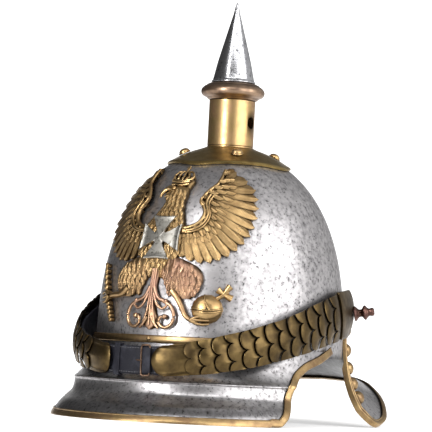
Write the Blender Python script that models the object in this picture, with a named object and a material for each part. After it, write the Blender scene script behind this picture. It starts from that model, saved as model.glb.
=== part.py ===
"""Cuirassier helmet: steel skull, visor and neck guard with brass trim, spike, eagle and scaled chin strap.

Metres, +Z up, the wearer faces -Y and the wearer's left is +X. The helmet stands on the flat foot of the
visor's trim, at height 0, and the frame's origin lies under the middle of its outer box.
"""

import bmesh
import bpy
from math import cos, pi, radians, sin, sqrt
from mathutils import Vector

MM = 0.001

# Fits shared by all pieces
GAP = 0.3 * MM
SEAT_GAP = 0.55 * MM
PLATE = 1.2 * MM
FOLD = 0.8 * MM
TRIM_PLAY = 0.9 * MM
FOLD_START = 5 * MM

# Skull, an oval bowl around the upright axis
SKULL_HALF_WIDTH = 91.8 * MM
SKULL_HALF_LENGTH = 99.1 * MM
SKULL_FOOT = 51 * MM
DOME_START = 60 * MM
DOME_TOP = 206 * MM
DOME_BULGE = 2.5
DOME_SHOULDER = 2.2
CROWN_VENT_RADIUS = 11 * MM

# Visor, the front peak
VISOR_TOP = 56 * MM
VISOR_PLATE_FOOT = 2.2 * MM
VISOR_SIDE_FLARE = 19.2 * MM
VISOR_FRONT_FLARE = 47.9 * MM
VISOR_SIDE_REACH = SKULL_HALF_WIDTH + VISOR_SIDE_FLARE
VISOR_FRONT_REACH = SKULL_HALF_LENGTH + VISOR_FRONT_FLARE
TRIM_WIDTH = 5.8 * MM

# Brass band over the visor's seam
BAND_FOOT = 56.4 * MM
BAND_HEIGHT = 5.6 * MM
BAND_THICKNESS = 1.6 * MM
BAND_HALF_TURN = radians(76)
BAND_RIVET_RADIUS = 2.2 * MM
BAND_RIVET_HEIGHT = 1.4 * MM

# Neck guard, a bell-shaped flare behind the ears
GUARD_TOP_SIDE = 83 * MM
GUARD_TOP_BACK = 70 * MM
GUARD_SIDE_FLARE = 8.2 * MM
GUARD_REAR_FLARE = 70.9 * MM
GUARD_HALF_WIDTH = SKULL_HALF_WIDTH + GUARD_SIDE_FLARE
GUARD_REAR_REACH = SKULL_HALF_LENGTH + GUARD_REAR_FLARE
GUARD_FLARE_SIDE = 3.0
GUARD_FLARE_BACK = 1.9
GUARD_DROP_BACK = 0.85
GUARD_TRIM_WIDTH = 4.6 * MM
GUARD_RIVET_RADIUS = 5.6 * MM
GUARD_RIVET_HEIGHT = 4.6 * MM
GUARD_RIVET_INSET = 10.2 * MM
RIVET_SEAT = 1.3 * MM
RIVET_SPREAD = 0.06
EDGE_SAMPLES = 60

# Spike fittings, turned around the upright axis
PLATE_RADIUS = 46 * MM
PLATE_LOBE = 2.5 * MM
PLATE_BRASS = 1.6 * MM
PLATE_HOLE_RADIUS = 13 * MM
TUBE_RADIUS = 17.6 * MM
TUBE_WALL = 1.6 * MM
TUBE_FOOT = 207.3 * MM
TUBE_HEAD = 243.7 * MM
VENT_RADIUS = 4.5 * MM
VENT_RISE = 0.54
VENT_HEIGHT = TUBE_FOOT + VENT_RISE * (TUBE_HEAD - TUBE_FOOT)
COLLAR_RADIUS = 24.4 * MM
COLLAR_FOOT = 244 * MM
COLLAR_HEAD = 257 * MM
SPIKE_RADIUS = 16.9 * MM
SPIKE_TIP = 319.5 * MM
STUD_RADIUS = 4.8 * MM
STUD_RING = 33.5 * MM
STUD_FIRST_TURN = radians(40)
STUD_COUNT = 4
STUD_SEAT = SEAT_GAP + 2 * GAP + 1.15 * PLATE_BRASS

# Chin strap, one loop from knob to knob round the front
KNOB_TURN = 112
KNOB_HEIGHT = 88 * MM
KNOB_RADIUS = 5.8 * MM
KNOB_LENGTH = 15 * MM
KNOB_RISE = radians(9)
KNOB_SEAT = 0.9 * MM
SPREAD_TURN = 70
PATH_BEFORE = 12
PATH_PAST = 40
STRAP_SIDE_CLEAR = 7.2 * MM
STRAP_FRONT_CLEAR = 22.9 * MM
STRAP_SIDE_REACH = SKULL_HALF_WIDTH + STRAP_SIDE_CLEAR
STRAP_FRONT_REACH = SKULL_HALF_LENGTH + STRAP_FRONT_CLEAR
STRAP_SEAT = 3.0 * MM
STRAP_FRONT_HEIGHT = 43.5 * MM
STRAP_FULL_WIDTH = 36 * MM
LEATHER = 2.0 * MM
LEATHER_WIDTH = 20.5 * MM
LEATHER_BEFORE = 6 * MM
CAP_SETBACK = 17.2 * MM
SCALE_LOBE = 5.2 * MM
SCALE_CROWN = 3.2 * MM
SCALE_LOW = 0.9 * MM
SCALE_HIGH = 2.3 * MM
FIRST_SCALE = 34 * MM
SCALES = 15
END_CAP_LENGTH = 23.5 * MM
CAP_ROUND = 9 * MM
BOSS_REAR = 9 * MM
BOSS_ROUND = 12 * MM
BUCKLE_CLEAR = 2.4 * MM
BUCKLE_WIRE = 1.5 * MM
BUCKLE_LENGTH = 6.5 * MM
BUCKLE_LIP = 0.3 * MM
PRONG_REACH = 3.5 * MM
PRONG_WIDTH = 1.4 * MM
PRONG_THICKNESS = 1.1 * MM
PRONG_FOOT = 0.9 * MM
PRONG_TIP = 1.65 * MM
TAB_WIDTH = 18 * MM
TAB_LEATHER = 1.3 * MM
TAB_SETBACK = 2.2 * MM
KEEPER_CLEAR = 1.5 * MM
KEEPER_LENGTH = 5 * MM
KEEPER_LEATHER = 1.2 * MM
JOINT_TURN = 14

# Eagle, a cast relief laid on the front of the dome
RELIEF_RADIUS = 88 * MM
EAGLE_FOOT = 66 * MM
EAGLE_HEIGHT = 122 * MM
EAGLE_HALF_SPAN = 76 * MM
EAGLE_DEPTH = 6.5 * MM
RELIEF_STEP = 14 * MM
CROSS_RAISE = 1.6 * MM
CROSS_SEAT = EAGLE_DEPTH + 3 * GAP
CROSS_WAIST = 0.22
CROSS_SPREAD = 0.62
ROD_EDGE = 0.7
ROD_CREST = 1.7
SCROLL_RADIUS = 2.1 * MM
LEG_RADIUS = 2.6 * MM
SCEPTRE_RADIUS = 2.4 * MM
ORB_CROSS_RADIUS = 3.2 * MM
ORB_DEPTH = 8 * MM

# Facets
SKULL_SEGMENTS = 32
SKULL_ROWS = 8
VISOR_SEGMENTS = 22
BAND_SEGMENTS = 20
GUARD_SEGMENTS = 30
TUBE_SEGMENTS = 24
TURNED_SEGMENTS = 20
SMALL_SEGMENTS = 10
LEATHER_STEPS = 22
CROSSINGS = (-1.0, -0.75, -0.5, -0.25, 0.0, 0.25, 0.5, 0.75, 1.0)

# Heights and reaches of the visor's sections, as shares of its drop and of its reach beyond the skull,
# with the turn from the front at which its rear edge lies
VISOR_SECTIONS = (
    # height, reach, edge_turn
    (1.000, 0.000, 93.0),
    (0.935, 0.020, 88.5),
    (0.870, 0.045, 84.0),
    (0.815, 0.080, 79.0),
    (0.760, 0.120, 74.5),
    (0.660, 0.220, 70.0),
    (0.570, 0.340, 68.0),
    (0.500, 0.486, 66.8),
    (0.470, 0.470, 66.0),
    (0.380, 0.490, 65.0),
    (0.310, 0.540, 64.6),
    (0.240, 0.665, 64.4),
    (0.170, 0.815, 64.0),
    (0.085, 0.925, 63.2),
    (0.000, 0.985, 61.2),
)

# The neck guard's rim from its front corner round to the back, as shares of half width, rear reach and
# the height of its seam, with the turn from the front at which its seam meets the skull
GUARD_RIM = (
    # seam_turn, width, rearward, height
    (120.5, 0.940, 0.324, 0.165),
    (122.5, 0.985, 0.371, 0.080),
    (126.0, 1.000, 0.430, 0.042),
    (131.0, 0.978, 0.518, 0.085),
    (137.0, 0.880, 0.618, 0.184),
    (144.0, 0.750, 0.718, 0.270),
    (151.5, 0.600, 0.812, 0.340),
    (160.0, 0.450, 0.894, 0.392),
    (170.0, 0.225, 0.970, 0.428),
    (180.0, 0.000, 0.990, 0.438),
)
GUARD_ROW_SHARES = (0.0, 0.30, 0.56, 0.76, 0.90, 1.0)
GUARD_RIVET_SHARES = (0.07, 0.20, 0.33, 0.46, 0.60)

# The strap's rise towards the knob and its width, against the turn from the front
STRAP_RUN = (
    # turn, rise, width
    (0, 0.00, 0.60),
    (16, 0.01, 0.62),
    (32, 0.11, 0.70),
    (48, 0.27, 0.76),
    (64, 0.48, 0.82),
    (80, 0.72, 0.93),
    (96, 0.90, 1.00),
    (124, 1.00, 1.00),
)

# Caps of the scales: places from their start to their end, with the top's height as a share of a scale's
CAP_ROWS = (
    # place, height
    (0.25, 0.60),
    (0.60, 0.90),
    (0.85, 0.80),
    (1.00, 0.35),
)
BOSS_ROWS = (
    # place, height
    (0.00, 0.50),
    (0.20, 0.90),
    (0.60, 1.00),
    (1.00, 1.15),
)

# Base plate of the spike: places between the tube and the plate's edge, with the plate's lift there as a
# share of its brass
PLATE_ROWS = (
    # place, lift
    (0.04, 1.60),
    (0.14, 1.35),
    (0.34, 1.20),
    (0.68, 1.10),
    (1.00, 1.00),
)

# Turned profiles: shares of the piece's radius and of its length, from the foot up
COLLAR_PROFILE = (
    # radius, height
    (0.70, 0.00),
    (0.79, 0.07),
    (0.86, 0.18),
    (0.97, 0.32),
    (1.00, 0.50),
    (0.97, 0.68),
    (0.88, 0.84),
    (0.70, 1.00),
)
SPIKE_PROFILE = (
    # radius, height
    (1.000, 0.00),
    (1.000, 0.02),
    (0.930, 0.05),
    (0.760, 0.26),
    (0.450, 0.57),
    (0.155, 0.86),
    (0.070, 0.97),
    (0.015, 1.00),
)
KNOB_PROFILE = (
    # radius, height
    (1.00, 0.00),
    (1.00, 0.07),
    (0.80, 0.14),
    (0.52, 0.24),
    (0.50, 0.38),
    (0.90, 0.50),
    (0.95, 0.57),
    (0.62, 0.68),
    (0.50, 0.74),
    (0.55, 0.93),
    (0.40, 1.00),
)
STUD_PROFILE = (
    # radius, height as a share of the radius
    (0.85, 0.00),
    (1.00, 0.25),
    (0.85, 0.55),
    (0.45, 0.80),
)

# Eagle's wing from the body's lower side out and up to its top: the inner edge, the line where the long
# feathers spring and their tips, each across and up as shares of half span and of the eagle's height
WING = (
    # inner across, inner up, root across, root up, tip across, tip up
    (0.190, 0.600, 0.200, 0.535, 0.20, 0.445),
    (0.300, 0.615, 0.340, 0.550, 0.42, 0.405),
    (0.385, 0.650, 0.450, 0.585, 0.62, 0.430),
    (0.415, 0.710, 0.530, 0.650, 0.80, 0.510),
    (0.360, 0.780, 0.565, 0.720, 0.93, 0.620),
    (0.420, 0.835, 0.570, 0.790, 1.00, 0.755),
    (0.520, 0.885, 0.600, 0.860, 0.97, 0.880),
    (0.585, 0.965, 0.620, 0.940, 0.66, 1.000),
)
FEATHERS = 11

# Lines along the wing: the place between inner edge, root and tip, and the relief's depth on and between
# the feathers' ribs
WING_LINES = (
    # from root to tip on a rib, between ribs, depth on a rib, between ribs
    (None, None, 0.35, 0.35),
    (0.00, 0.00, 0.60, 0.52),
    (0.55, 0.55, 0.46, 0.30),
    (1.00, 0.86, 0.26, 0.18),
)

# Eagle's body, thighs, tail and beak: height, middle and half width as shares of the eagle's height and
# half span, with the relief's depth as a share of the deepest
BODY_ROWS = (
    # height, middle, half width, depth
    (0.330, 0.000, 0.070, 0.35),
    (0.400, 0.000, 0.170, 0.60),
    (0.470, 0.000, 0.220, 0.85),
    (0.560, 0.000, 0.235, 1.00),
    (0.630, 0.010, 0.215, 1.00),
    (0.690, 0.030, 0.165, 0.95),
    (0.735, 0.045, 0.125, 0.90),
    (0.785, 0.045, 0.115, 0.85),
    (0.830, 0.035, 0.135, 0.85),
    (0.865, 0.035, 0.125, 0.75),
    (0.885, 0.035, 0.165, 0.85),
    (0.925, 0.035, 0.175, 0.70),
    (0.950, 0.035, 0.050, 0.45),
)
THIGH_ROWS = (
    # height, middle, half width, depth
    (0.190, 0.31, 0.060, 0.40),
    (0.235, 0.29, 0.135, 0.60),
    (0.310, 0.29, 0.185, 0.75),
    (0.380, 0.23, 0.190, 0.70),
    (0.430, 0.15, 0.100, 0.45),
)
TAIL_ROWS = (
    # height, middle, half width, depth
    (0.00, 0.0, 0.045, 0.35),
    (0.05, 0.0, 0.085, 0.55),
    (0.12, 0.0, 0.040, 0.55),
    (0.25, 0.0, 0.030, 0.55),
    (0.37, 0.0, 0.050, 0.50),
)
BEAK_ROWS = (
    # height, middle, half width, depth
    (0.807, 0.00, 0.07, 0.45),
    (0.830, -0.08, 0.12, 0.60),
    (0.850, 0.00, 0.07, 0.45),
)

# Scrolls and rods of the relief: points as shares of half span and height
TAIL_SCROLL = (
    (0.02, 0.200),
    (0.10, 0.155),
    (0.20, 0.140),
    (0.265, 0.090),
    (0.24, 0.030),
    (0.15, 0.020),
    (0.10, 0.055),
)
LEG_LEFT = ((0.27, 0.24), (0.31, 0.195), (0.37, 0.155), (0.45, 0.13))
LEG_RIGHT = ((-0.27, 0.24), (-0.33, 0.195), (-0.44, 0.20), (-0.60, 0.215))
SCEPTRE = ((-0.49, 0.04), (-0.555, 0.14), (-0.63, 0.26), (-0.70, 0.38))
ORB_CENTRE = (0.53, 0.135)
ORB_RADIUS = 11.0 * MM
ORB_CROSS = ((0.60, 0.20), (0.70, 0.245))
CROSS_CENTRE = (0.02, 0.535)
CROSS_HALF_WIDTH = 15.5 * MM
CROSS_HALF_HEIGHT = 15.5 * MM


def material(name, colour, roughness, metallic):
    made = bpy.data.materials.new(name)
    made.use_nodes = True
    shader = made.node_tree.nodes["Principled BSDF"]
    shader.inputs["Base Color"].default_value = (*colour, 1)
    shader.inputs["Roughness"].default_value = roughness
    shader.inputs["Metallic"].default_value = metallic
    return made


def finish_object(name, mesh, look, sharp=radians(35)):
    """Link a mesh as one sub-part under the helmet's frame, shaded smooth with sharp creases."""
    mesh.name = name
    mesh.materials.append(material(name, *look))
    mesh.shade_smooth()
    mesh.set_sharp_from_angle(angle=sharp)
    made = bpy.data.objects.new(name, mesh)
    bpy.context.collection.objects.link(made)
    made.parent = helmet
    return made


def mesh_of(points, faces):
    """A mesh from points and faces, its normals made to point outwards."""
    mesh = bpy.data.meshes.new("mesh")
    mesh.from_pydata([tuple(p) for p in points], [], faces)
    work = bmesh.new()
    work.from_mesh(mesh)
    bmesh.ops.remove_doubles(work, verts=work.verts, dist=GAP / 100)
    bmesh.ops.dissolve_degenerate(work, edges=work.edges, dist=GAP / 100)
    bmesh.ops.recalc_face_normals(work, faces=work.faces)
    work.to_mesh(mesh)
    work.free()
    return mesh


def mix(a, b, share):
    return a + (b - a) * share


def table_value(table, column, key):
    """Read a column of a table, straight between its rows, by the rows' first column."""
    rows = sorted(table)
    if key <= rows[0][0]:
        return rows[0][column]
    for low, high in zip(rows, rows[1:]):
        if key <= high[0]:
            return mix(low[column], high[column], (key - low[0]) / (high[0] - low[0]))
    return rows[-1][column]


def along(points, share):
    """A point on the smooth curve through points, by the share of its spans."""
    spans = len(points) - 1
    place = min(max(share, 0.0), 1.0) * spans
    index = min(int(place), spans - 1)
    t = place - index
    p1 = Vector(points[index])
    p2 = Vector(points[index + 1])
    p0 = Vector(points[index - 1]) if index > 0 else 2 * p1 - p2
    p3 = Vector(points[index + 2]) if index + 2 <= spans else 2 * p2 - p1
    linear = (p2 - p0) * t
    square = (2 * p0 - 5 * p1 + 4 * p2 - p3) * t**2
    cube = (3 * p1 - p0 - 3 * p2 + p3) * t**3
    return p1 + (linear + square + cube) / 2


def closed_solid(top, bottom):
    """A closed mesh between two grids of equal size, joined round their borders."""
    rows, columns = len(top), len(top[0])
    points = [p for row in top for p in row] + [p for row in bottom for p in row]
    under = rows * columns
    faces = []
    for i in range(rows - 1):
        for j in range(columns - 1):
            a = i * columns + j
            faces.append((a, a + 1, a + columns + 1, a + columns))
            faces.append((under + a, under + a + columns, under + a + columns + 1, under + a + 1))
    border = list(range(columns))
    border += [i * columns + columns - 1 for i in range(1, rows)]
    border += [(rows - 1) * columns + j for j in range(columns - 2, -1, -1)]
    border += [i * columns for i in range(rows - 2, 0, -1)]
    for a, b in zip(border, border[1:] + border[:1]):
        faces.append((a, under + a, under + b, b))
    return mesh_of(points, faces)


def swept(sections, closed=False):
    """A closed mesh through equal sections, capped at its ends unless the path is closed."""
    count, size = len(sections), len(sections[0])
    faces = []
    for i in range(count if closed else count - 1):
        low = i * size
        high = (i + 1) % count * size
        for j in range(size):
            k = (j + 1) % size
            faces.append((low + j, low + k, high + k, high + j))
    if not closed:
        faces.append(tuple(range(size)))
        faces.append(tuple((count - 1) * size + j for j in reversed(range(size))))
    return mesh_of([p for section in sections for p in section], faces)


def ring(radius, height, segments):
    """A level circle of points around the upright axis."""
    points = []
    for k in range(segments):
        turn = 2 * pi * k / segments
        points.append(Vector((radius * cos(turn), radius * sin(turn), height)))
    return points


def turned(profile, segments=TURNED_SEGMENTS):
    """A solid of revolution about +Z from (radius, height) pairs, closed by flat ends."""
    return swept([ring(radius, height, segments) for radius, height in profile])


def skull_shares(height):
    """The skull's width as a share of its widest, and how far up the dome a height lies."""
    up = min(max((height - DOME_START) / (DOME_TOP - DOME_START), 0.0), 1.0)
    return (1 - up**DOME_BULGE) ** (1 / DOME_SHOULDER), up


def skull_point(turn, height, offset=0.0):
    """A point on the skull's outer face, turned from the front towards +X, or off it by an offset."""
    share, up = skull_shares(height)
    length = SKULL_HALF_LENGTH + (SKULL_HALF_WIDTH - SKULL_HALF_LENGTH) * up
    point = Vector((SKULL_HALF_WIDTH * share * sin(turn), -length * share * cos(turn), height))
    return point + skull_normal(turn, height) * offset if offset else point


def skull_normal(turn, height):
    step = 0.5 * MM
    low = max(height - step, DOME_START / 2)
    across = skull_point(turn + 0.01, height) - skull_point(turn - 0.01, height)
    upward = skull_point(turn, min(height + step, DOME_TOP)) - skull_point(turn, low)
    return across.cross(upward).normalized()


def skull_height_at(radius):
    """The height at which the skull's half width equals a radius."""
    share = radius / SKULL_HALF_WIDTH
    up = (1 - share**DOME_SHOULDER) ** (1 / DOME_BULGE)
    return DOME_START + (DOME_TOP - DOME_START) * up


def make_skull():
    """The raised steel bowl as a front and a back half, open below and vented at its crown."""
    vent_height = skull_height_at(CROWN_VENT_RADIUS)
    heights = [SKULL_FOOT]
    for i in range(SKULL_ROWS):
        heights.append(mix(DOME_START, vent_height, sin(pi / 2 * i / (SKULL_ROWS - 1))))
    half = SKULL_SEGMENTS // 2
    for name, first_turn, side in (("skull_front", -pi / 2, -1), ("skull_back", pi / 2, 1)):
        sections = []
        for k in range(half + 1):
            turn = first_turn + pi * k / half
            outer = [skull_point(turn, height) for height in heights]
            inner = [skull_point(turn, height, -PLATE) for height in heights]
            inner[0].z = SKULL_FOOT
            section = outer + inner[::-1]
            if k in (0, half):
                section = [Vector((point.x, side * GAP / 2, point.z)) for point in section]
            sections.append(section)
        finish_object(name, swept(sections), STEEL)


def visor_point(row, across):
    """A point of the visor's outer face: row of the sections, across from -1 to 1 between its edges."""
    height_share, reach, edge = VISOR_SECTIONS[row]
    height = mix(VISOR_PLATE_FOOT, VISOR_TOP, height_share)
    turn = radians(edge) * across
    seat = SEAT_GAP + PLATE
    side = mix(SKULL_HALF_WIDTH + seat, VISOR_SIDE_REACH, reach)
    front = mix(SKULL_HALF_LENGTH + seat, VISOR_FRONT_REACH, reach)
    return Vector((side * sin(turn), -front * cos(turn), height))


def grid_normal(grid, i, j):
    """The outward normal of a grid of points, from its neighbours."""
    rows, columns = len(grid), len(grid[0])
    across = grid[i][min(j + 1, columns - 1)] - grid[i][max(j - 1, 0)]
    downward = grid[min(i + 1, rows - 1)][j] - grid[max(i - 1, 0)][j]
    normal = across.cross(downward).normalized()
    outward = Vector((grid[i][j].x, grid[i][j].y, 0))
    return normal if normal.dot(outward) > 0 else -normal


def plate_of(grid):
    """A sheet-metal plate under the outer face given by a grid."""
    under = []
    for i, row in enumerate(grid):
        under.append([point - grid_normal(grid, i, j) * PLATE for j, point in enumerate(row)])
    return closed_solid(grid, under)


def visor_grid():
    """The visor's outer face: rows from seam to foot, columns from its right edge to its left."""
    places = [mix(-1, 1, k / VISOR_SEGMENTS) for k in range(VISOR_SEGMENTS + 1)]
    return [[visor_point(row, across) for across in places] for row in range(len(VISOR_SECTIONS))]


def channel(grid, route, width, foot=None):
    """A folded brass channel over the edge of a plate, along a route of (row, column) pairs of its grid.

    Where the edge runs level and a foot height is given, the fold's outside is cut flat at that height.
    Where the plate lies on the skull there is no room behind it, so the fold only caps its edge.
    """
    last_row = len(grid) - 1
    last_column = len(grid[0]) - 1
    edge = [grid[i][j] for i, j in route]
    outer = TRIM_PLAY + FOLD
    inner = -(PLATE + TRIM_PLAY + FOLD)
    sections = []
    for index, (i, j) in enumerate(route):
        point = edge[index]
        tangent = (edge[min(index + 1, len(edge) - 1)] - edge[max(index - 1, 0)]).normalized()
        row_in = i - 1 if i == last_row else i
        column_in = min(max(j, 1), last_column - 1)
        inside = grid[row_in][column_in] - point
        inside = (inside - tangent * inside.dot(tangent)).normalized()
        normal = tangent.cross(inside).normalized()
        if normal.dot(grid_normal(grid, i, j)) < 0:
            normal = -normal
        reach_out = outer
        reach_in = outer
        if foot is not None and i == last_row:
            reach_out = (point.z + normal.z * outer - foot) / inside.z
            reach_in = (point.z + normal.z * inner - foot) / inside.z
            if j != column_in:
                reach_out = min(reach_out, outer)
                reach_in = min(reach_in, outer)
        lip = reach_out - width
        corners = [(lip, outer), (reach_out, outer)]
        if point.z > SKULL_FOOT - FOLD_START:
            corners += [(reach_out, -PLATE)] + [(GAP, -PLATE)] * 3
        else:
            corners += [(reach_in, inner), (lip, inner), (lip, inner + FOLD), (GAP, inner + FOLD)]
        corners += [(GAP, TRIM_PLAY), (lip, TRIM_PLAY)]
        sections.append([point - inside * away + normal * up for away, up in corners])
    return swept(sections)


def make_visor():
    """The front peak of sheet steel and the brass trim folded over its edge, on which the helmet stands."""
    grid = visor_grid()
    finish_object("visor", plate_of(grid), STEEL, radians(24))
    last = len(grid) - 1
    route = [(i, 0) for i in range(last)]
    route += [(last, j) for j in range(VISOR_SEGMENTS + 1)]
    route += [(i, VISOR_SEGMENTS) for i in range(last - 1, -1, -1)]
    finish_object("visor_trim", channel(grid, route, TRIM_WIDTH, foot=0.0), BRASS)


def guard_grid():
    """The neck guard's outer face: rows from seam to rim, columns from one ear round to the other."""
    half = GUARD_SEGMENTS // 2
    side = []
    for index in range(half + 1):
        seam_turn, width, rearward, height = along(GUARD_RIM, index / half)
        back = (seam_turn - GUARD_RIM[0][0]) / (180 - GUARD_RIM[0][0])
        seam = mix(GUARD_TOP_SIDE, GUARD_TOP_BACK, back)
        top = skull_point(radians(seam_turn), seam, SEAT_GAP + PLATE)
        rim = Vector((GUARD_HALF_WIDTH * width, GUARD_REAR_REACH * rearward, GUARD_TOP_SIDE * height))
        flare = mix(GUARD_FLARE_SIDE, GUARD_FLARE_BACK, back)
        column = []
        for share in GUARD_ROW_SHARES:
            outward = share**flare
            drop = mix(share, share**GUARD_DROP_BACK, back)
            column.append(Vector((
                mix(top.x, rim.x, outward),
                mix(top.y, rim.y, outward),
                mix(top.z, rim.z, drop),
            )))
        side.append(column)
    mirrored = [[Vector((-p.x, p.y, p.z)) for p in column] for column in reversed(side[:-1])]
    columns = side + mirrored
    return [[column[i] for column in columns] for i in range(len(GUARD_ROW_SHARES))]


def make_guard():
    """The rear plate with its folded trim and the row of domed rivets beside each front edge."""
    grid = guard_grid()
    finish_object("neck_guard", plate_of(grid), STEEL)
    last_row = len(grid) - 1
    last_column = len(grid[0]) - 1
    route = [(i, 0) for i in range(1, last_row)]
    route += [(last_row, j) for j in range(last_column + 1)]
    route += [(i, last_column) for i in range(last_row - 1, 0, -1)]
    finish_object("neck_guard_trim", channel(grid, route, GUARD_TRIM_WIDTH), BRASS)
    front = [row[0] for row in grid]
    edge = [along(front, k / EDGE_SAMPLES) for k in range(EDGE_SAMPLES + 1)] + grid[-1]
    for number, share in enumerate(GUARD_RIVET_SHARES, 1):
        line = guard_line(grid, share)
        reach = GUARD_RIVET_INSET
        while min((walk(line, reach) - p).length for p in edge) < GUARD_RIVET_INSET:
            reach += GAP
        ahead = walk(line, reach + GUARD_RIVET_RADIUS) - walk(line, reach - GUARD_RIVET_RADIUS)
        upper = walk(guard_line(grid, share - RIVET_SPREAD), reach)
        lower = walk(guard_line(grid, share + RIVET_SPREAD), reach)
        normal = ahead.cross(lower - upper).normalized()
        normal = normal if normal.x > 0 else -normal
        seat = walk(line, reach) + normal * RIVET_SEAT
        head = rivet_head(GUARD_RIVET_RADIUS, GUARD_RIVET_HEIGHT)
        for name, mirror in (("left", 1), ("right", -1)):
            flip = Vector((mirror, 1, 1))
            place_turned(f"guard_rivet_{name}_{number}", head, seat * flip, normal * flip, BRASS)


def guard_line(grid, share):
    """A line along the guard from its front edge, at a share of the way from its seam to its rim."""
    return [along([row[k] for row in grid], share) for k in range(GUARD_SEGMENTS // 2)]


def walk(line, distance):
    """The point at a distance along a line of points."""
    for a, b in zip(line, line[1:]):
        step = (b - a).length
        if distance <= step:
            return a + (b - a) * (distance / step)
        distance -= step
    return line[-1]


def rivet_head(radius, height):
    """A domed head, as a turned profile."""
    profile = []
    for angle in (0.0, radians(38), radians(72)):
        profile.append((radius * cos(angle), height * sin(angle)))
    return profile


def place_turned(name, profile, seat, axis, look, segments=SMALL_SEGMENTS):
    """A turned piece standing on a seat along an axis."""
    mesh = turned(profile, segments)
    made = finish_object(name, mesh, look)
    made.location = seat
    made.rotation_euler = axis.to_track_quat("Z", "Y").to_euler()
    return made


def make_band():
    """The brass band over the visor's seam, with one small rivet at the front."""
    turns = [mix(-BAND_HALF_TURN, BAND_HALF_TURN, k / BAND_SEGMENTS) for k in range(BAND_SEGMENTS + 1)]
    top = []
    under = []
    for height in (BAND_FOOT, BAND_FOOT + BAND_HEIGHT):
        top.append([skull_point(turn, height, SEAT_GAP + BAND_THICKNESS) for turn in turns])
        under.append([skull_point(turn, height, SEAT_GAP) for turn in turns])
    finish_object("front_band", closed_solid(top, under), BRASS)
    seat = skull_point(0, BAND_FOOT + BAND_HEIGHT / 2, SEAT_GAP + GAP + BAND_THICKNESS)
    head = rivet_head(BAND_RIVET_RADIUS, BAND_RIVET_HEIGHT)
    place_turned("band_rivet", head, seat, Vector((0, -1, 0)), BRASS)


def plate_radius(turn):
    """The base plate's edge, with a shallow lobe at the front, back and sides."""
    return PLATE_RADIUS + PLATE_LOBE * (cos(2 * turn) ** 2) ** 2


def make_spike_base():
    """The base plate that hugs the dome and rises in a flare to the tube, with its four studs."""
    collar_foot = TUBE_FOOT - GAP
    sections = []
    for k in range(TUBE_SEGMENTS):
        turn = 2 * pi * k / TUBE_SEGMENTS
        edge = plate_radius(turn)
        outer = []
        for radius in (PLATE_HOLE_RADIUS, TUBE_RADIUS):
            outer.append(Vector((radius * sin(turn), -radius * cos(turn), collar_foot)))
        for share, lift in PLATE_ROWS:
            height = skull_height_at(mix(TUBE_RADIUS, edge, share))
            outer.append(skull_point(turn, height, SEAT_GAP + lift * PLATE_BRASS))
        under = []
        for share in (1.0, 0.68, 0.34, 0.0):
            height = skull_height_at(mix(TUBE_RADIUS, edge, share))
            under.append(skull_point(turn, height, SEAT_GAP))
        under.append(skull_point(turn, skull_height_at(PLATE_HOLE_RADIUS), SEAT_GAP))
        sections.append(outer + under)
    finish_object("spike_base", swept(sections, closed=True), BRASS)
    profile = [(STUD_RADIUS * radius, STUD_RADIUS * height) for radius, height in STUD_PROFILE]
    height = skull_height_at(STUD_RING)
    for number in range(STUD_COUNT):
        turn = STUD_FIRST_TURN + 2 * pi * number / STUD_COUNT
        seat = skull_point(turn, height, STUD_SEAT)
        place_turned(f"base_stud_{number + 1}", profile, seat, skull_normal(turn, height), BRASS)


def make_spike():
    """The tube with its two side vents, the collar and the spike, stacked on the upright axis."""
    bore = TUBE_RADIUS - TUBE_WALL
    profile = ((bore, TUBE_FOOT), (TUBE_RADIUS, TUBE_FOOT), (TUBE_RADIUS, TUBE_HEAD), (bore, TUBE_HEAD))
    rings = [ring(radius, height, TUBE_SEGMENTS) for radius, height in profile]
    sections = [[circle[k] for circle in rings] for k in range(TUBE_SEGMENTS)]
    tube = finish_object("spike_tube", swept(sections, closed=True), BRASS)
    reach = 2 * TUBE_RADIUS
    drill_mesh = turned([(VENT_RADIUS, -reach), (VENT_RADIUS, reach)], SMALL_SEGMENTS + 2)
    drill = bpy.data.objects.new("vent_drill", drill_mesh)
    bpy.context.collection.objects.link(drill)
    drill.parent = helmet
    drill.location = (0, 0, VENT_HEIGHT)
    drill.rotation_euler = (0, pi / 2, 0)
    drill.hide_render = True
    drill.display_type = "WIRE"
    cut = tube.modifiers.new("vents", "BOOLEAN")
    cut.operation = "DIFFERENCE"
    cut.object = drill
    collar = [(COLLAR_RADIUS * radius, mix(COLLAR_FOOT, COLLAR_HEAD, up)) for radius, up in COLLAR_PROFILE]
    finish_object("spike_collar", turned(collar), AGED_BRASS)
    foot = COLLAR_HEAD + GAP
    spike = [(SPIKE_RADIUS * radius, mix(foot, SPIKE_TIP, up)) for radius, up in SPIKE_PROFILE]
    finish_object("spike", turned(spike), BRIGHT_STEEL)


def strap_middle(turn, side):
    """The strap's middle line at a turn in degrees from the front, on a side of +1 or -1."""
    near = min(max((KNOB_TURN - turn) / SPREAD_TURN, 0.0), 1.0)
    near = near * near * (3 - 2 * near)
    half_width = mix(SKULL_HALF_WIDTH + STRAP_SEAT, STRAP_SIDE_REACH, near)
    half_length = mix(SKULL_HALF_LENGTH + STRAP_SEAT, STRAP_FRONT_REACH, near)
    height = mix(STRAP_FRONT_HEIGHT, KNOB_HEIGHT, table_value(STRAP_RUN, 1, abs(turn)))
    angle = radians(turn)
    return Vector((side * half_width * sin(angle), -half_length * cos(angle), height))


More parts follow.
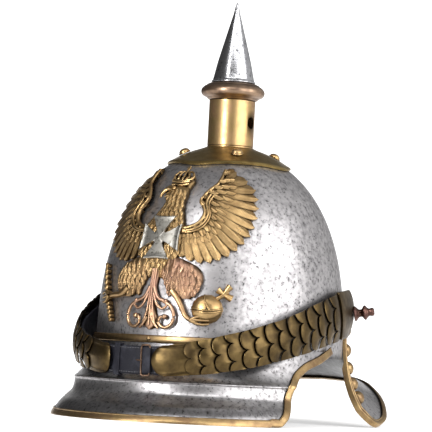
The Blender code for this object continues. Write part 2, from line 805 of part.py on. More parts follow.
class StrapPath:
    """The strap's middle line on one side, measured from the knob towards and past the front."""

    def __init__(self, side):
        self.side = side
        self.turns = [KNOB_TURN + PATH_BEFORE - k for k in range(KNOB_TURN + PATH_BEFORE + PATH_PAST)]
        self.points = [strap_middle(turn, side) for turn in self.turns]
        self.lengths = [0.0]
        for a, b in zip(self.points, self.points[1:]):
            self.lengths.append(self.lengths[-1] + (b - a).length)
        self.start = 0.0
        self.start = self.length_at(KNOB_TURN)

    def length_at(self, turn):
        """The distance from the knob at which the line reaches a turn."""
        place = KNOB_TURN + PATH_BEFORE - turn
        index = min(int(place), len(self.lengths) - 2)
        return mix(self.lengths[index], self.lengths[index + 1], place - index) - self.start

    def turn_at(self, distance):
        """The turn that the line reaches at a distance from the knob."""
        target = distance + self.start
        for index in range(len(self.lengths) - 1):
            if target <= self.lengths[index + 1]:
                step = self.lengths[index + 1] - self.lengths[index]
                return self.turns[index] - (target - self.lengths[index]) / step
        return self.turns[-1]

    def half_width(self, distance):
        """Half the width of the scales at a distance from the knob."""
        return STRAP_FULL_WIDTH * table_value(STRAP_RUN, 2, abs(self.turn_at(distance))) / 2

    def place(self, distance, across, out):
        """A point at a distance from the knob, across the strap in metres, and out from its seat."""
        turn = self.turn_at(distance)
        middle = strap_middle(turn, self.side)
        forward = (strap_middle(turn - 1.0, self.side) - middle).normalized()
        level_out = Vector((-forward.y, forward.x, 0)).normalized()
        if level_out.dot(Vector((middle.x, middle.y, 0))) < 0:
            level_out = -level_out
        upward = level_out.cross(forward)
        upward = upward if upward.z > 0 else -upward
        return middle + upward * across + level_out * out

    def domed(self, distance, share, out):
        """A point on the scales' crowned width: across as a share of half their width."""
        crown = SCALE_CROWN * (1 - share * share)
        return self.place(distance, share * self.half_width(distance), out + crown)


def scale_pitch():
    """The scales' spacing, which brings the front caps to their places beside the front."""
    run = StrapPath(1).length_at(0) - CAP_SETBACK
    return (run - FIRST_SCALE - END_CAP_LENGTH) / (SCALES - 1)


SCALE_PITCH = scale_pitch()


def lobe(across, kind):
    """How far a scale's edge reaches at a place across it: two full lobes, or one between two halves."""
    place = abs(across) * 2
    offset = abs(place - 1) if kind == 0 else min(place, abs(2 - place))
    return sqrt(max(1 - offset * offset, 0.0))


def boss_edge(across):
    """How far from the knob the cap plate's front edge lies, at a place across the strap."""
    return FIRST_SCALE - SCALE_LOBE * (0.5 + 0.5 * across * across)


def scales_end():
    """How far from the knob the scales' front cap ends."""
    return FIRST_SCALE + (SCALES - 1) * SCALE_PITCH + END_CAP_LENGTH


def scale_edge(number, across):
    """How far from the knob a scale's front edge lies, at a place across the strap."""
    start = FIRST_SCALE + number * SCALE_PITCH - SCALE_LOBE
    return start + SCALE_LOBE * lobe(across, number % 2)


def rounded(across, depth):
    """How far a rounded end falls back at a place across it."""
    return depth * (1 - sqrt(1 - (across * 0.98) ** 2))


def make_scales(name, side):
    """One side's brass scales, each lapping over the next towards the front, and their front cap."""
    rows = [(SCALE_LOW, [boss_edge(across) + 2 * GAP for across in CROSSINGS])]
    for number in range(1, SCALES):
        edge = [scale_edge(number, across) for across in CROSSINGS]
        rows.append((SCALE_HIGH, edge))
        rows.append((SCALE_LOW, [distance + GAP for distance in edge]))
    for share, height in CAP_ROWS:
        row = []
        for across in CROSSINGS:
            cap_start = scale_edge(SCALES - 1, across)
            row.append(mix(cap_start, scales_end() - rounded(across, CAP_ROUND), share))
        rows.append((SCALE_HIGH * height, row))
    path = StrapPath(side)
    top = [[path.domed(d, a, lift) for d, a in zip(row, CROSSINGS)] for lift, row in rows]
    under = [[path.domed(d, a, 0.0) for d, a in zip(row, CROSSINGS)] for lift, row in rows]
    finish_object(name, closed_solid(top, under), BRASS, radians(30))





def make_boss(name, side):
    """The cap plate at the knob, lapping over the first scale, with the turned knob on it."""
    path = StrapPath(side)
    top = []
    under = []
    for share, height in BOSS_ROWS:
        rears = [rounded(across, BOSS_ROUND) - BOSS_REAR for across in CROSSINGS]
        row = [mix(rear, boss_edge(across), share) for rear, across in zip(rears, CROSSINGS)]
        top.append([path.domed(d, a, SCALE_HIGH * height) for d, a in zip(row, CROSSINGS)])
        under.append([path.domed(d, a, 0.0) for d, a in zip(row, CROSSINGS)])
    finish_object(f"boss_plate_{name}", closed_solid(top, under), BRASS)
    turn = radians(KNOB_TURN) * side
    outward = Vector((sin(turn) * SKULL_HALF_LENGTH, -cos(turn) * SKULL_HALF_WIDTH, 0)).normalized()
    axis = outward * cos(KNOB_RISE) + Vector((0, 0, sin(KNOB_RISE)))
    seat = path.domed(0, 0, SCALE_HIGH) + outward * KNOB_SEAT
    profile = [(KNOB_RADIUS * radius, KNOB_LENGTH * up) for radius, up in KNOB_PROFILE]
    place_turned(f"strap_knob_{name}", profile, seat, axis, COPPER, SMALL_SEGMENTS)


def make_leather(name, side, end_distance):
    """One side's leather under the scales, from behind the knob to its end at the front."""
    path = StrapPath(side)
    edges = (-LEATHER_WIDTH / 2, LEATHER_WIDTH / 2)
    top = []
    under = []
    for k in range(LEATHER_STEPS + 1):
        distance = mix(-LEATHER_BEFORE, end_distance, k / LEATHER_STEPS)
        top.append([path.place(distance, across, -GAP) for across in edges])
        under.append([path.place(distance, across, -GAP - LEATHER) for across in edges])
    finish_object(name, closed_solid(top, under), DARK_LEATHER)


def make_buckle():
    """The flat buckle frame with its prong, the tab that covers its rear bar, and the keeper loop."""
    path = StrapPath(1)
    bar = scales_end() + BUCKLE_CLEAR + BUCKLE_LENGTH
    far_bar = bar - BUCKLE_LENGTH
    outside = LEATHER_WIDTH / 2 + BUCKLE_WIRE
    inside = LEATHER_WIDTH / 2 - BUCKLE_LIP
    wire = BUCKLE_WIRE / 2
    sections = []
    for distance, side in ((bar, 1), (bar, -1), (far_bar, -1), (far_bar, 1)):
        wide = wire if distance == bar else -wire
        sections.append([
            path.place(distance + wide, side * outside, GAP),
            path.place(distance + wide, side * outside, GAP + BUCKLE_WIRE),
            path.place(distance - wide, side * inside, GAP + BUCKLE_WIRE),
            path.place(distance - wide, side * inside, GAP),
        ])
    frame = finish_object("buckle_frame", swept(sections, closed=True), COPPER)
    prong = []
    for distance, foot in ((far_bar, PRONG_FOOT), (bar + PRONG_REACH, PRONG_TIP)):
        prong.append([
            path.place(distance, -PRONG_WIDTH / 2, foot),
            path.place(distance, PRONG_WIDTH / 2, foot),
            path.place(distance, PRONG_WIDTH / 2, foot + PRONG_THICKNESS),
            path.place(distance, -PRONG_WIDTH / 2, foot + PRONG_THICKNESS),
        ])
    join_to(frame, swept(prong))
    floor = PRONG_FOOT + PRONG_THICKNESS + 2 * GAP
    edges = (-TAB_WIDTH / 2, TAB_WIDTH / 2)
    top = []
    under = []
    for share in (0.0, 0.5, 1.0):
        distance = mix(bar - TAB_SETBACK, far_bar - BUCKLE_WIRE, share)
        top.append([path.place(distance, across, floor + TAB_LEATHER) for across in edges])
        under.append([path.place(distance, across, floor) for across in edges])
    finish_object("buckle_tab", closed_solid(top, under), DARK_LEATHER)


def make_keeper():
    """The narrow leather loop around the strap, as far from the front as the other side's scales end."""
    path = StrapPath(1)
    middle = 2 * path.length_at(0) - scales_end() - KEEPER_CLEAR - KEEPER_LENGTH / 2
    side_in = LEATHER_WIDTH / 2 + GAP
    side_out = side_in + KEEPER_LEATHER
    back_in = -(LEATHER + 2 * GAP)
    back_out = back_in - KEEPER_LEATHER
    sections = []
    for side, depth_in, depth_out in (
        (-1, 0.0, KEEPER_LEATHER), (1, 0.0, KEEPER_LEATHER), (1, back_in, back_out), (-1, back_in, back_out),
    ):
        sections.append([
            path.place(middle - KEEPER_LENGTH / 2, side * side_in, depth_in),
            path.place(middle + KEEPER_LENGTH / 2, side * side_in, depth_in),
            path.place(middle + KEEPER_LENGTH / 2, side * side_out, depth_out),
            path.place(middle - KEEPER_LENGTH / 2, side * side_out, depth_out),
        ])
    finish_object("strap_keeper", swept(sections, closed=True), DARK_LEATHER)


def join_to(owner, mesh):
    """Join a mesh to an object with a Boolean union; the mesh stays as a hidden helper."""
    helper = bpy.data.objects.new(f"{owner.name}_helper", mesh)
    bpy.context.collection.objects.link(helper)
    helper.parent = helmet
    helper.hide_render = True
    helper.display_type = "WIRE"
    union = owner.modifiers.new("join", "BOOLEAN")
    union.operation = "UNION"
    union.object = helper


def relief_point(across, height, lift):
    """Lay a flat point of the relief on the dome: across from the middle line, height, lift off the skull."""
    turn = across / RELIEF_RADIUS
    return skull_point(turn, height, SEAT_GAP + lift)


def on_eagle(share_across, share_up):
    return share_across * EAGLE_HALF_SPAN, EAGLE_FOOT + share_up * EAGLE_HEIGHT


def flat_solid(top):
    """A closed relief piece from rows of (across, height, lift), with a flat back at lift 0."""
    points = [[Vector(p) for p in row] for row in top]
    under = [[Vector((p.x, p.y, 0.0)) for p in row] for row in points]
    return closed_solid(points, under)


def domed_rows(rows, mirror=1, crossings=6, lift=0.25):
    """A domed relief piece through rows of height, middle, half width and depth shares."""
    top = []
    for up, middle, half, depth in rows:
        row = []
        for k in range(crossings + 1):
            across = mix(-1, 1, k / crossings)
            x, y = on_eagle(mirror * (middle + half * across), up)
            round_share = lift + (1 - lift) * sqrt(max(1 - across * across, 0))
            row.append((x, y, EAGLE_DEPTH * depth * round_share))
        top.append(row)
    return flat_solid(top)


def wing(mirror):
    """A wing: coverts along its inner edge and long feathers, each with a raised rib, out to their tips."""
    columns = 2 * FEATHERS
    rows = []
    for rib_place, gap_place, rib_depth, gap_depth in WING_LINES:
        row = []
        for k in range(columns + 1):
            inner_x, inner_y, root_x, root_y, tip_x, tip_y = along(WING, k / columns)
            place = rib_place if k % 2 else gap_place
            depth = rib_depth if k % 2 else gap_depth
            if place is None:
                x, y = on_eagle(mirror * inner_x, inner_y)
            else:
                x, y = on_eagle(mirror * mix(root_x, tip_x, place), mix(root_y, tip_y, place))
            row.append((x, y, EAGLE_DEPTH * depth))
        rows.append(row)
    return flat_solid(rows)


def rod(points, radius, taper=1.0, samples=8):
    """A raised rod of the relief along a smooth curve through points, with a flat back."""
    rows = []
    for k in range(samples + 1):
        share = k / samples
        here = Vector(on_eagle(*along(points, share)))
        after = Vector(on_eagle(*along(points, share + 0.02)))
        before = Vector(on_eagle(*along(points, share - 0.02)))
        ahead = after - before
        side = Vector((-ahead.y, ahead.x)).normalized() * mix(radius, radius * taper, share)
        rows.append([
            (here.x - side.x, here.y - side.y, side.length * ROD_EDGE),
            (here.x, here.y, side.length * ROD_CREST),
            (here.x + side.x, here.y + side.y, side.length * ROD_EDGE),
        ])
    return flat_solid(rows)


def disc(centre, radius, depth, rings=3, segments=12):
    """A domed round piece of the relief with a flat back."""
    x, y = on_eagle(*centre)
    profile = [(radius, 0.0)]
    for k in range(rings + 1):
        angle = pi / 2 * k / (rings + 0.4)
        profile.append((radius * cos(angle), depth * (0.3 + 0.7 * sin(angle))))
    mesh = turned(profile, segments)
    for vertex in mesh.vertices:
        vertex.co.x += x
        vertex.co.y += y
    return mesh


def mirrored_points(points):
    return tuple((-across, up) for across, up in points)


def make_eagle():
    """The eagle: flat relief pieces joined into one casting, then laid on the dome."""
    pieces = [
        domed_rows(BODY_ROWS), wing(1), wing(-1),
        domed_rows(THIGH_ROWS, 1, 4), domed_rows(THIGH_ROWS, -1, 4),
        domed_rows(TAIL_ROWS, 1, 4), domed_rows(BEAK_ROWS, 1, 4),
        rod(TAIL_SCROLL, SCROLL_RADIUS), rod(mirrored_points(TAIL_SCROLL), SCROLL_RADIUS),
        rod(LEG_LEFT, LEG_RADIUS, 1.3, 4), rod(LEG_RIGHT, LEG_RADIUS, 1.0, 4),
        rod(SCEPTRE, SCEPTRE_RADIUS, 1.0, 4), disc(ORB_CENTRE, ORB_RADIUS, ORB_DEPTH),
        rod(ORB_CROSS, ORB_CROSS_RADIUS, 0.9, 2),
    ]
    blanks = []
    for number, mesh in enumerate(pieces):
        blank = bpy.data.objects.new(f"eagle_piece_{number}", mesh)
        bpy.context.collection.objects.link(blank)
        blanks.append(blank)
    for other in blanks[1:]:
        union = blanks[0].modifiers.new("join", "BOOLEAN")
        union.operation = "UNION"
        union.object = other
    bpy.context.view_layer.update()
    flat = bpy.data.meshes.new_from_object(blanks[0].evaluated_get(bpy.context.evaluated_depsgraph_get()))
    for blank in blanks:
        bpy.data.objects.remove(blank)
    lay_on_dome(flat)
    flat.materials.clear()
    finish_object("eagle", flat, BRASS)


def lay_on_dome(flat):
    """Cut a flat relief into strips fine enough to bend, then lay it on the dome."""
    work = bmesh.new()
    work.from_mesh(flat)
    bmesh.ops.remove_doubles(work, verts=work.verts, dist=GAP / 10)
    bmesh.ops.dissolve_limit(work, angle_limit=radians(1), verts=work.verts, edges=work.edges)
    for normal in (Vector((1, 0, 0)), Vector((0, 1, 0))):
        values = [vertex.co.dot(normal) for vertex in work.verts]
        place = (int(min(values) / RELIEF_STEP) - 1) * RELIEF_STEP
        while place < max(values):
            place += RELIEF_STEP
            geometry = list(work.verts) + list(work.edges) + list(work.faces)
            bmesh.ops.bisect_plane(
                work, geom=geometry, dist=GAP / 10, plane_co=normal * place, plane_no=normal
            )
    bmesh.ops.triangulate(work, faces=work.faces)
    for vertex in work.verts:
        vertex.co = relief_point(vertex.co.x, vertex.co.y, vertex.co.z)
    bmesh.ops.recalc_face_normals(work, faces=work.faces)
    work.to_mesh(flat)
    work.free()


def make_cross():
    """The plain steel cross with widening arms on the eagle's breast."""
    x, y = on_eagle(*CROSS_CENTRE)
    outline = []
    for quarter in range(4):
        angle = quarter * pi / 2
        for outward, sideways in ((1.0, -CROSS_SPREAD), (1.0, CROSS_SPREAD), (CROSS_WAIST, CROSS_WAIST)):
            px = outward * cos(angle) - sideways * sin(angle)
            py = outward * sin(angle) + sideways * cos(angle)
            outline.append((x + px * CROSS_HALF_WIDTH, y + py * CROSS_HALF_HEIGHT))
    sections = []
    for lift in (CROSS_SEAT, CROSS_SEAT + CROSS_RAISE):
        sections.append([relief_point(px, py, lift) for px, py in outline])
    finish_object("breast_cross", swept(sections), BRIGHT_STEEL)


def set_on_floor():
    """Move the whole helmet so that the origin lies under the middle of its outer box, at its foot."""
    graph = bpy.context.evaluated_depsgraph_get()
    corners = []
    for made in helmet.children:
        if not made.hide_render:
            shown = made.evaluated_get(graph)
            corners += [shown.matrix_world @ Vector(vertex.co) for vertex in shown.data.vertices]
    low = [min(corner[axis] for corner in corners) for axis in range(3)]
    high = [max(corner[axis] for corner in corners) for axis in range(3)]
    helmet.location = (-(low[0] + high[0]) / 2, -(low[1] + high[1]) / 2, -low[2])


def main():
    make_skull()
    make_visor()
    make_band()
    make_guard()
    make_spike_base()
    make_spike()
    for name, side in (("left", 1), ("right", -1)):
        make_scales(f"chin_scales_{name}", side)
        make_boss(name, side)
        joint = StrapPath(side).length_at(JOINT_TURN * side)
        make_leather(f"strap_leather_{name}", side, joint - GAP)
    make_buckle()
    make_keeper()
    make_eagle()
    make_cross()
    set_on_floor()


for old in list(bpy.data.objects):
    bpy.data.objects.remove(old)
helmet = bpy.data.objects.new("helmet_frame", None)
bpy.context.collection.objects.link(helmet)

STEEL = ((0.42, 0.42, 0.43), 0.34, 1.0)
BRIGHT_STEEL = ((0.62, 0.63, 0.65), 0.2, 1.0)
BRASS = ((0.50, 0.36, 0.14), 0.36, 1.0)
AGED_BRASS = ((0.36, 0.24, 0.13), 0.38, 1.0)
COPPER = ((0.30, 0.14, 0.09), 0.42, 1.0)
DARK_LEATHER = ((0.02, 0.022, 0.03), 0.5, 0.0)

main()
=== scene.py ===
"""Cuirassier helmet, dressed: worn steel, aged brass, chased eagle and scaled chin strap, in a pale studio.

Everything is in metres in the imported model's frame: +Z up, the front is -Y, the wearer's left is +X.
"""

from math import cos, dist, pi, radians, sin, sqrt

import bmesh
import bpy
from mathutils import Matrix, Vector


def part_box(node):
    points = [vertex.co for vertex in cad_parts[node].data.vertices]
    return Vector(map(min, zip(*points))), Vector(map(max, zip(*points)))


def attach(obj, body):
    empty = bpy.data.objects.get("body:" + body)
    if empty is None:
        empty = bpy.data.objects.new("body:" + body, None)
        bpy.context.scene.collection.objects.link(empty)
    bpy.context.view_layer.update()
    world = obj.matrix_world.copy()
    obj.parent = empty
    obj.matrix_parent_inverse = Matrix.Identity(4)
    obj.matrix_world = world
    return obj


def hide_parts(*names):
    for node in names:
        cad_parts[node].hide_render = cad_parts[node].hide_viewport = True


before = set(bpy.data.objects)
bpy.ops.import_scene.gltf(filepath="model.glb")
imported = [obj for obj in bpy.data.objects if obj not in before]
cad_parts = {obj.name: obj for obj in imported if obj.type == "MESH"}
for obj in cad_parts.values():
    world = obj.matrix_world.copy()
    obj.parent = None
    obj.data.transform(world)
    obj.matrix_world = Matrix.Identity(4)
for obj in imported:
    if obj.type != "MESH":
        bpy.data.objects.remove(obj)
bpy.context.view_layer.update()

MM = 0.001

# The upright axis of the skull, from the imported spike
SPIKE_LOW, SPIKE_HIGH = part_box("spike")
AXIS_Y = (SPIKE_LOW[1] + SPIKE_HIGH[1]) / 2
AXIS = Vector((0, AXIS_Y, 0))

# Sizes shared with the solids
SEAT_GAP = 0.55 * MM
PLATE = 1.2 * MM
SKULL_HALF_WIDTH = 91.8 * MM
SKULL_HALF_LENGTH = 99.1 * MM
SKULL_FOOT = 51 * MM
DOME_START = 60 * MM
DOME_TOP = 206 * MM
DOME_BULGE = 2.5
DOME_SHOULDER = 2.2
CROWN_VENT_RADIUS = 11 * MM
VISOR_TOP = 56 * MM
VISOR_PLATE_FOOT = 2.2 * MM
VISOR_SIDE_REACH = 111 * MM
VISOR_FRONT_REACH = 147 * MM
TRIM_WIDTH = 5.8 * MM
TRIM_PLAY = 0.9 * MM
FOLD = 0.8 * MM
FOLD_START = 5 * MM
BAND_FOOT = 56.4 * MM
BAND_HEIGHT = 5.6 * MM
BAND_THICKNESS = 1.6 * MM
BAND_HALF_TURN = radians(76)
GUARD_TOP_SIDE = 83 * MM
GUARD_TOP_BACK = 70 * MM
GUARD_HALF_WIDTH = 100 * MM
GUARD_REAR_REACH = 170 * MM
GUARD_FLARE_SIDE = 3.0
GUARD_FLARE_BACK = 1.9
GUARD_DROP_BACK = 0.85
GUARD_TRIM_WIDTH = 4.6 * MM
RIVET_RADIUS = 5.6 * MM
RIVET_HEIGHT = 5.2 * MM
TUBE_RADIUS = 17.6 * MM
TUBE_WALL = 1.6 * MM
TUBE_GROOVE = 0.25 * MM
TUBE_FOOT = 207.3 * MM
TUBE_HEAD = 243.7 * MM
VENT_RADIUS = 4.5 * MM
VENT_HEIGHT = 227 * MM
PLATE_RADIUS = 46 * MM
PLATE_LOBE = 2.5 * MM
PLATE_BRASS = 1.6 * MM
PLATE_HOLE_RADIUS = 13 * MM
STUD_RADIUS = 4.8 * MM
STUD_RING = 33.5 * MM
STUD_SEAT = 1.15
FIRST_STUD_TURN = radians(40)
COLLAR_RADIUS = 24.4 * MM
COLLAR_FOOT = 244 * MM
COLLAR_HEAD = 257 * MM
SPIKE_RADIUS = 16.9 * MM
SPIKE_TIP = 319.5 * MM
KNOB_TURN = 112
KNOB_HEIGHT = 88 * MM
KNOB_RADIUS = 5.8 * MM
KNOB_LENGTH = 15 * MM
KNOB_RISE = radians(9)
KNOB_SEAT = 0.9 * MM
SPREAD_TURN = 70
PATH_BEFORE = 12
PATH_PAST = 40
STRAP_SIDE_REACH = 99 * MM
STRAP_FRONT_REACH = 122 * MM
STRAP_SEAT = 3.0 * MM
STRAP_FRONT_HEIGHT = 43.5 * MM
STRAP_FULL_WIDTH = 36 * MM
LEATHER = 2.0 * MM
LEATHER_WIDTH = 20.5 * MM
LEATHER_BEFORE = 6 * MM
GAP = 0.3 * MM
SCALE_PITCH = 10.2 * MM
SCALE_LOBE = 5.2 * MM
SCALE_CROWN = 3.2 * MM
SCALE_LOW = 0.9 * MM
SCALE_HIGH = 2.3 * MM
SCALE_BRASS = 0.7 * MM
FIRST_SCALE = 34 * MM
SCALES = 15
END_CAP_LENGTH = 23.5 * MM
CAP_ROUND = 9 * MM
BOSS_REAR = 9 * MM
BOSS_ROUND = 12 * MM
BUCKLE_CLEAR = 2.4 * MM
BUCKLE_WIRE = 1.5 * MM
BUCKLE_LENGTH = 6.5 * MM
PRONG_REACH = 3.5 * MM
TAB_WIDTH = 18 * MM
KEEPER_CLEAR = 1.5 * MM
KEEPER_LENGTH = 5 * MM
KEEPER_LEATHER = 1.2 * MM
SCALE_SWELL = 0.8 * MM
SCALE_TUCK = 0.6 * MM
SCALE_FLOOR = 0.1 * MM
CAP_RIDGE = 0.5 * MM
STITCH_PITCH = 2.3 * MM
STITCH_PLACE = 0.85
BUCKLE_CORNER = 1.6 * MM
JOINT_TURN = 14
RELIEF_RADIUS = 88 * MM
EAGLE_FOOT = 66 * MM
EAGLE_HEIGHT = 122 * MM
EAGLE_HALF_SPAN = 76 * MM
EAGLE_DEPTH = 6.5 * MM
CROSS_SEAT = EAGLE_DEPTH + 3 * GAP
CROSS_HALF = 15.5
CROSS_ARM = 0.62

# Visor sections: shares of its drop and of its reach beyond the skull, and the turn of its rear edge
VISOR_SECTIONS = (
    # height, reach, edge_turn
    (1.000, 0.000, 93.0), (0.935, 0.020, 88.5), (0.870, 0.045, 84.0), (0.815, 0.080, 79.0),
    (0.760, 0.120, 74.5), (0.660, 0.220, 70.0), (0.570, 0.340, 68.0), (0.500, 0.486, 66.8),
    (0.470, 0.470, 66.0), (0.380, 0.490, 65.0), (0.310, 0.540, 64.6), (0.240, 0.665, 64.4),
    (0.170, 0.815, 64.0), (0.085, 0.925, 63.2), (0.000, 0.985, 61.2),
)
GUARD_RIM = (
    # seam_turn, width, rearward, height
    (120.5, 0.940, 0.324, 0.165), (122.5, 0.985, 0.371, 0.080), (126.0, 1.000, 0.430, 0.042),
    (131.0, 0.978, 0.518, 0.085), (137.0, 0.880, 0.618, 0.184), (144.0, 0.750, 0.718, 0.270),
    (151.5, 0.600, 0.812, 0.340), (160.0, 0.450, 0.894, 0.392), (170.0, 0.225, 0.970, 0.428),
    (180.0, 0.000, 0.990, 0.438),
)
STRAP_RUN = (
    # turn, rise, width
    (0, 0.00, 0.60), (16, 0.01, 0.62), (32, 0.11, 0.70), (48, 0.27, 0.76), (64, 0.48, 0.82),
    (80, 0.72, 0.93), (96, 0.90, 1.00), (124, 1.00, 1.00),
)
PLATE_ROWS = (
    # place from the tube to the edge, lift as a share of the plate's brass
    (0.02, 1.75), (0.04, 1.60), (0.08, 1.45), (0.14, 1.35), (0.34, 1.20), (0.68, 1.10), (0.90, 1.00),
    (0.92, 1.15), (0.97, 1.15), (1.00, 0.85),
)
COLLAR_PROFILE = (
    # radius, height
    (0.70, 0.00), (0.74, 0.02), (0.79, 0.07), (0.80, 0.12), (0.86, 0.18), (0.93, 0.24), (0.97, 0.32),
    (0.992, 0.41), (1.00, 0.50), (0.992, 0.59), (0.97, 0.68), (0.93, 0.76), (0.88, 0.84), (0.84, 0.86),
    (0.82, 0.92), (0.74, 0.99), (0.70, 1.00),
)
SPIKE_PROFILE = (
    # radius, height
    (0.96, 0.000), (1.00, 0.008), (1.00, 0.022), (0.95, 0.032), (0.93, 0.050), (0.845, 0.155),
    (0.760, 0.260), (0.606, 0.415), (0.450, 0.570), (0.303, 0.715), (0.155, 0.860), (0.100, 0.930),
    (0.070, 0.970), (0.040, 0.990), (0.010, 1.000),
)
WING = (
    # inner across, inner up, root across, root up, tip across, tip up
    (0.190, 0.600, 0.200, 0.535, 0.20, 0.445), (0.300, 0.615, 0.340, 0.550, 0.42, 0.405),
    (0.385, 0.650, 0.450, 0.585, 0.62, 0.430), (0.415, 0.710, 0.530, 0.650, 0.80, 0.510),
    (0.360, 0.780, 0.565, 0.720, 0.93, 0.620), (0.420, 0.835, 0.570, 0.790, 1.00, 0.755),
    (0.520, 0.885, 0.600, 0.860, 0.97, 0.880), (0.585, 0.965, 0.620, 0.940, 0.66, 1.000),
)
BODY_ROWS = (
    # height, middle, half width, depth
    (0.330, 0.000, 0.070, 0.35), (0.400, 0.000, 0.170, 0.60), (0.470, 0.000, 0.220, 0.85),
    (0.560, 0.000, 0.235, 1.00), (0.630, 0.010, 0.215, 1.00), (0.690, 0.030, 0.165, 0.95),
    (0.735, 0.045, 0.125, 0.90), (0.785, 0.045, 0.115, 0.85), (0.815, 0.020, 0.145, 0.92),
    (0.850, 0.020, 0.140, 0.85), (0.872, 0.035, 0.110, 0.60),
)
THIGH_ROWS = (
    # height, middle, half width, depth
    (0.190, 0.31, 0.060, 0.40), (0.235, 0.29, 0.135, 0.60), (0.310, 0.29, 0.185, 0.75),
    (0.380, 0.23, 0.190, 0.70), (0.430, 0.15, 0.100, 0.45),
)
TAIL_ROWS = (
    # height, middle, half width, depth
    (0.00, 0.0, 0.020, 0.35), (0.03, 0.0, 0.075, 0.45), (0.07, 0.0, 0.075, 0.55),
    (0.13, 0.0, 0.045, 0.55), (0.25, 0.0, 0.035, 0.55), (0.37, 0.0, 0.055, 0.50),
)
LEATHER_OUTLINE = (
    # across, lift
    (-1.0, -0.5), (-0.97, -0.15), (-0.90, 0.0), (-0.80, 0.0), (-0.76, -0.12), (-0.72, 0.0), (0.0, 0.06),
    (0.72, 0.0), (0.76, -0.12), (0.80, 0.0), (0.90, 0.0), (0.97, -0.15), (1.0, -0.5),
)
SCALE_ROWS = (
    # place, height, worn; the dark rear rows are painted shadow under the scale that laps over them
    (0.0, 0.00, 0.0), (0.14, 0.10, 0.04), (0.26, 0.30, 0.55), (0.5, 0.66, 1.0), (0.78, 0.92, 1.0),
    (0.93, 1.0, 0.95), (0.98, 0.97, 0.8), (1.0, 0.86, 0.4),
)
CAP_ROWS = (
    # place, height, worn; the dark first row is painted shadow under the last scale
    (0.00, 0.30, 0.1), (0.12, 0.48, 0.6), (0.25, 0.60, 1.0), (0.60, 0.90, 1.0), (0.85, 0.80, 1.0),
    (0.95, 0.62, 1.0), (1.00, 0.35, 0.5),
)
BOSS_ROWS = (
    # place, height, worn
    (0.00, 0.50, 0.3), (0.06, 0.72, 0.9), (0.20, 0.92, 0.9), (0.60, 1.00, 0.9), (0.94, 1.15, 0.9),
    (1.00, 1.00, 0.4),
)
KNOB_PROFILE = (
    # radius, height, worn
    (0.97, 0.00, 0.3), (1.00, 0.03, 1.0), (0.97, 0.07, 0.8), (0.80, 0.13, 0.5), (0.62, 0.19, 0.3),
    (0.52, 0.24, 0.2), (0.49, 0.31, 0.2), (0.52, 0.38, 0.3), (0.74, 0.44, 0.6), (0.90, 0.48, 0.9),
    (0.97, 0.53, 1.0), (0.93, 0.58, 1.0), (0.74, 0.63, 0.6), (0.60, 0.68, 0.4), (0.50, 0.74, 0.3),
    (0.50, 0.80, 0.6), (0.55, 0.88, 1.0), (0.54, 0.95, 1.0), (0.40, 1.00, 0.8),
)
COVERTS = (
    # number, lift at root and tip, reach at root and tip, half width
    (15, 3.3, 3.0, 0.30, 0.50, 2.6), (14, 3.9, 3.7, 0.12, 0.34, 2.5), (12, 4.4, 4.3, 0.0, 0.2, 2.3),
)
CROWN_ROWS = (
    # height, middle, half width, depth
    (0.852, 0.035, 0.125, 0.60), (0.872, 0.035, 0.140, 0.74), (0.900, 0.035, 0.160, 0.70),
    (0.925, 0.035, 0.120, 0.55), (0.938, 0.035, 0.050, 0.35),
)
# Shares of the crown's half width and how far its rims drop there
CROWN_RIM = ((-1, 0.0), (-0.5, 0.7), (0, 1.0), (0.5, 0.7), (1, 0.0))
CURL_CENTRE = Vector((29.0, 160.5))
TAB_PLACES = (-1.0, -0.94, -0.8, 0.0, 0.8, 0.94, 1.0)

# Looks: how bright marked places stay, several of them painted shade, and sizes of the patterns
# Painted shade on the under faces of solids and on the skull's inner face
UNDER_SHADE = 0.3
# Painted shade along the skull's foot, under the visor, guard and strap
FOOT_SHADE = 0.45
# Painted shade on the visor's lower band: its brightness, the share of rows where it starts and the share
# over which it fades in
VISOR_RIM_SHADE = 0.56
RIM_SHADE_START = 0.70
RIM_SHADE_FADE = 0.18
PIT_SHADE = 0.45
ROSE_COPPER = (0.42, 0.245, 0.175)
# How far the painted crevice shade looks for nearby forms
CREVICE_SHADE_REACH = 3.2 * MM
BARB_PHASE = 5.2

# Brightness of the backdrop, the room and the floor behind the object
BACKDROP = 1.5
CEILING = 0.12
SIDE_WALL = 0.70
ROOM_LIGHT = 0.08
FLOOR_GLOW = 0.8
FLOOR_REACH = 1.3

# Camera, fitted to the photograph: a long lens just above the rim, turned from the front to the left
VIEW_TURN = radians(31)
VIEW_ROLL = radians(3)
SIDEWAYS = Vector((cos(VIEW_TURN), sin(VIEW_TURN), 0))
DEPTHWISE = Vector((-sin(VIEW_TURN), cos(VIEW_TURN), 0))
VIEW_DISTANCE = 2.0
VIEW_HEIGHT = 0.062
VIEW_PLACE = AXIS - DEPTHWISE * VIEW_DISTANCE + Vector((0, 0, VIEW_HEIGHT))
VIEW_SHIFT = 8 * MM
VIEW_AIM = 155.3 * MM
VIEW_TARGET = AXIS - SIDEWAYS * VIEW_SHIFT + Vector((0, 0, VIEW_AIM))
VIEW_LENS = 218.33
VIEW_SENSOR = 36
VIEW_CLIP = 100


def mix(a, b, share):
    return a + (b - a) * share


def between(first, second, share):
    """A place between two pairs of numbers."""
    return tuple(mix(a, b, share) for a, b in zip(first, second))


def turns(count):
    """Equal turns round a circle."""
    return [2 * pi * k / count for k in range(count)]


def table_value(table, column, key):
    """Read a column of a table, straight between its rows, by the rows' first column."""
    rows = sorted(table)
    if key <= rows[0][0]:
        return rows[0][column]
    for low, high in zip(rows, rows[1:]):
        if key <= high[0]:
            return mix(low[column], high[column], (key - low[0]) / (high[0] - low[0]))
    return rows[-1][column]


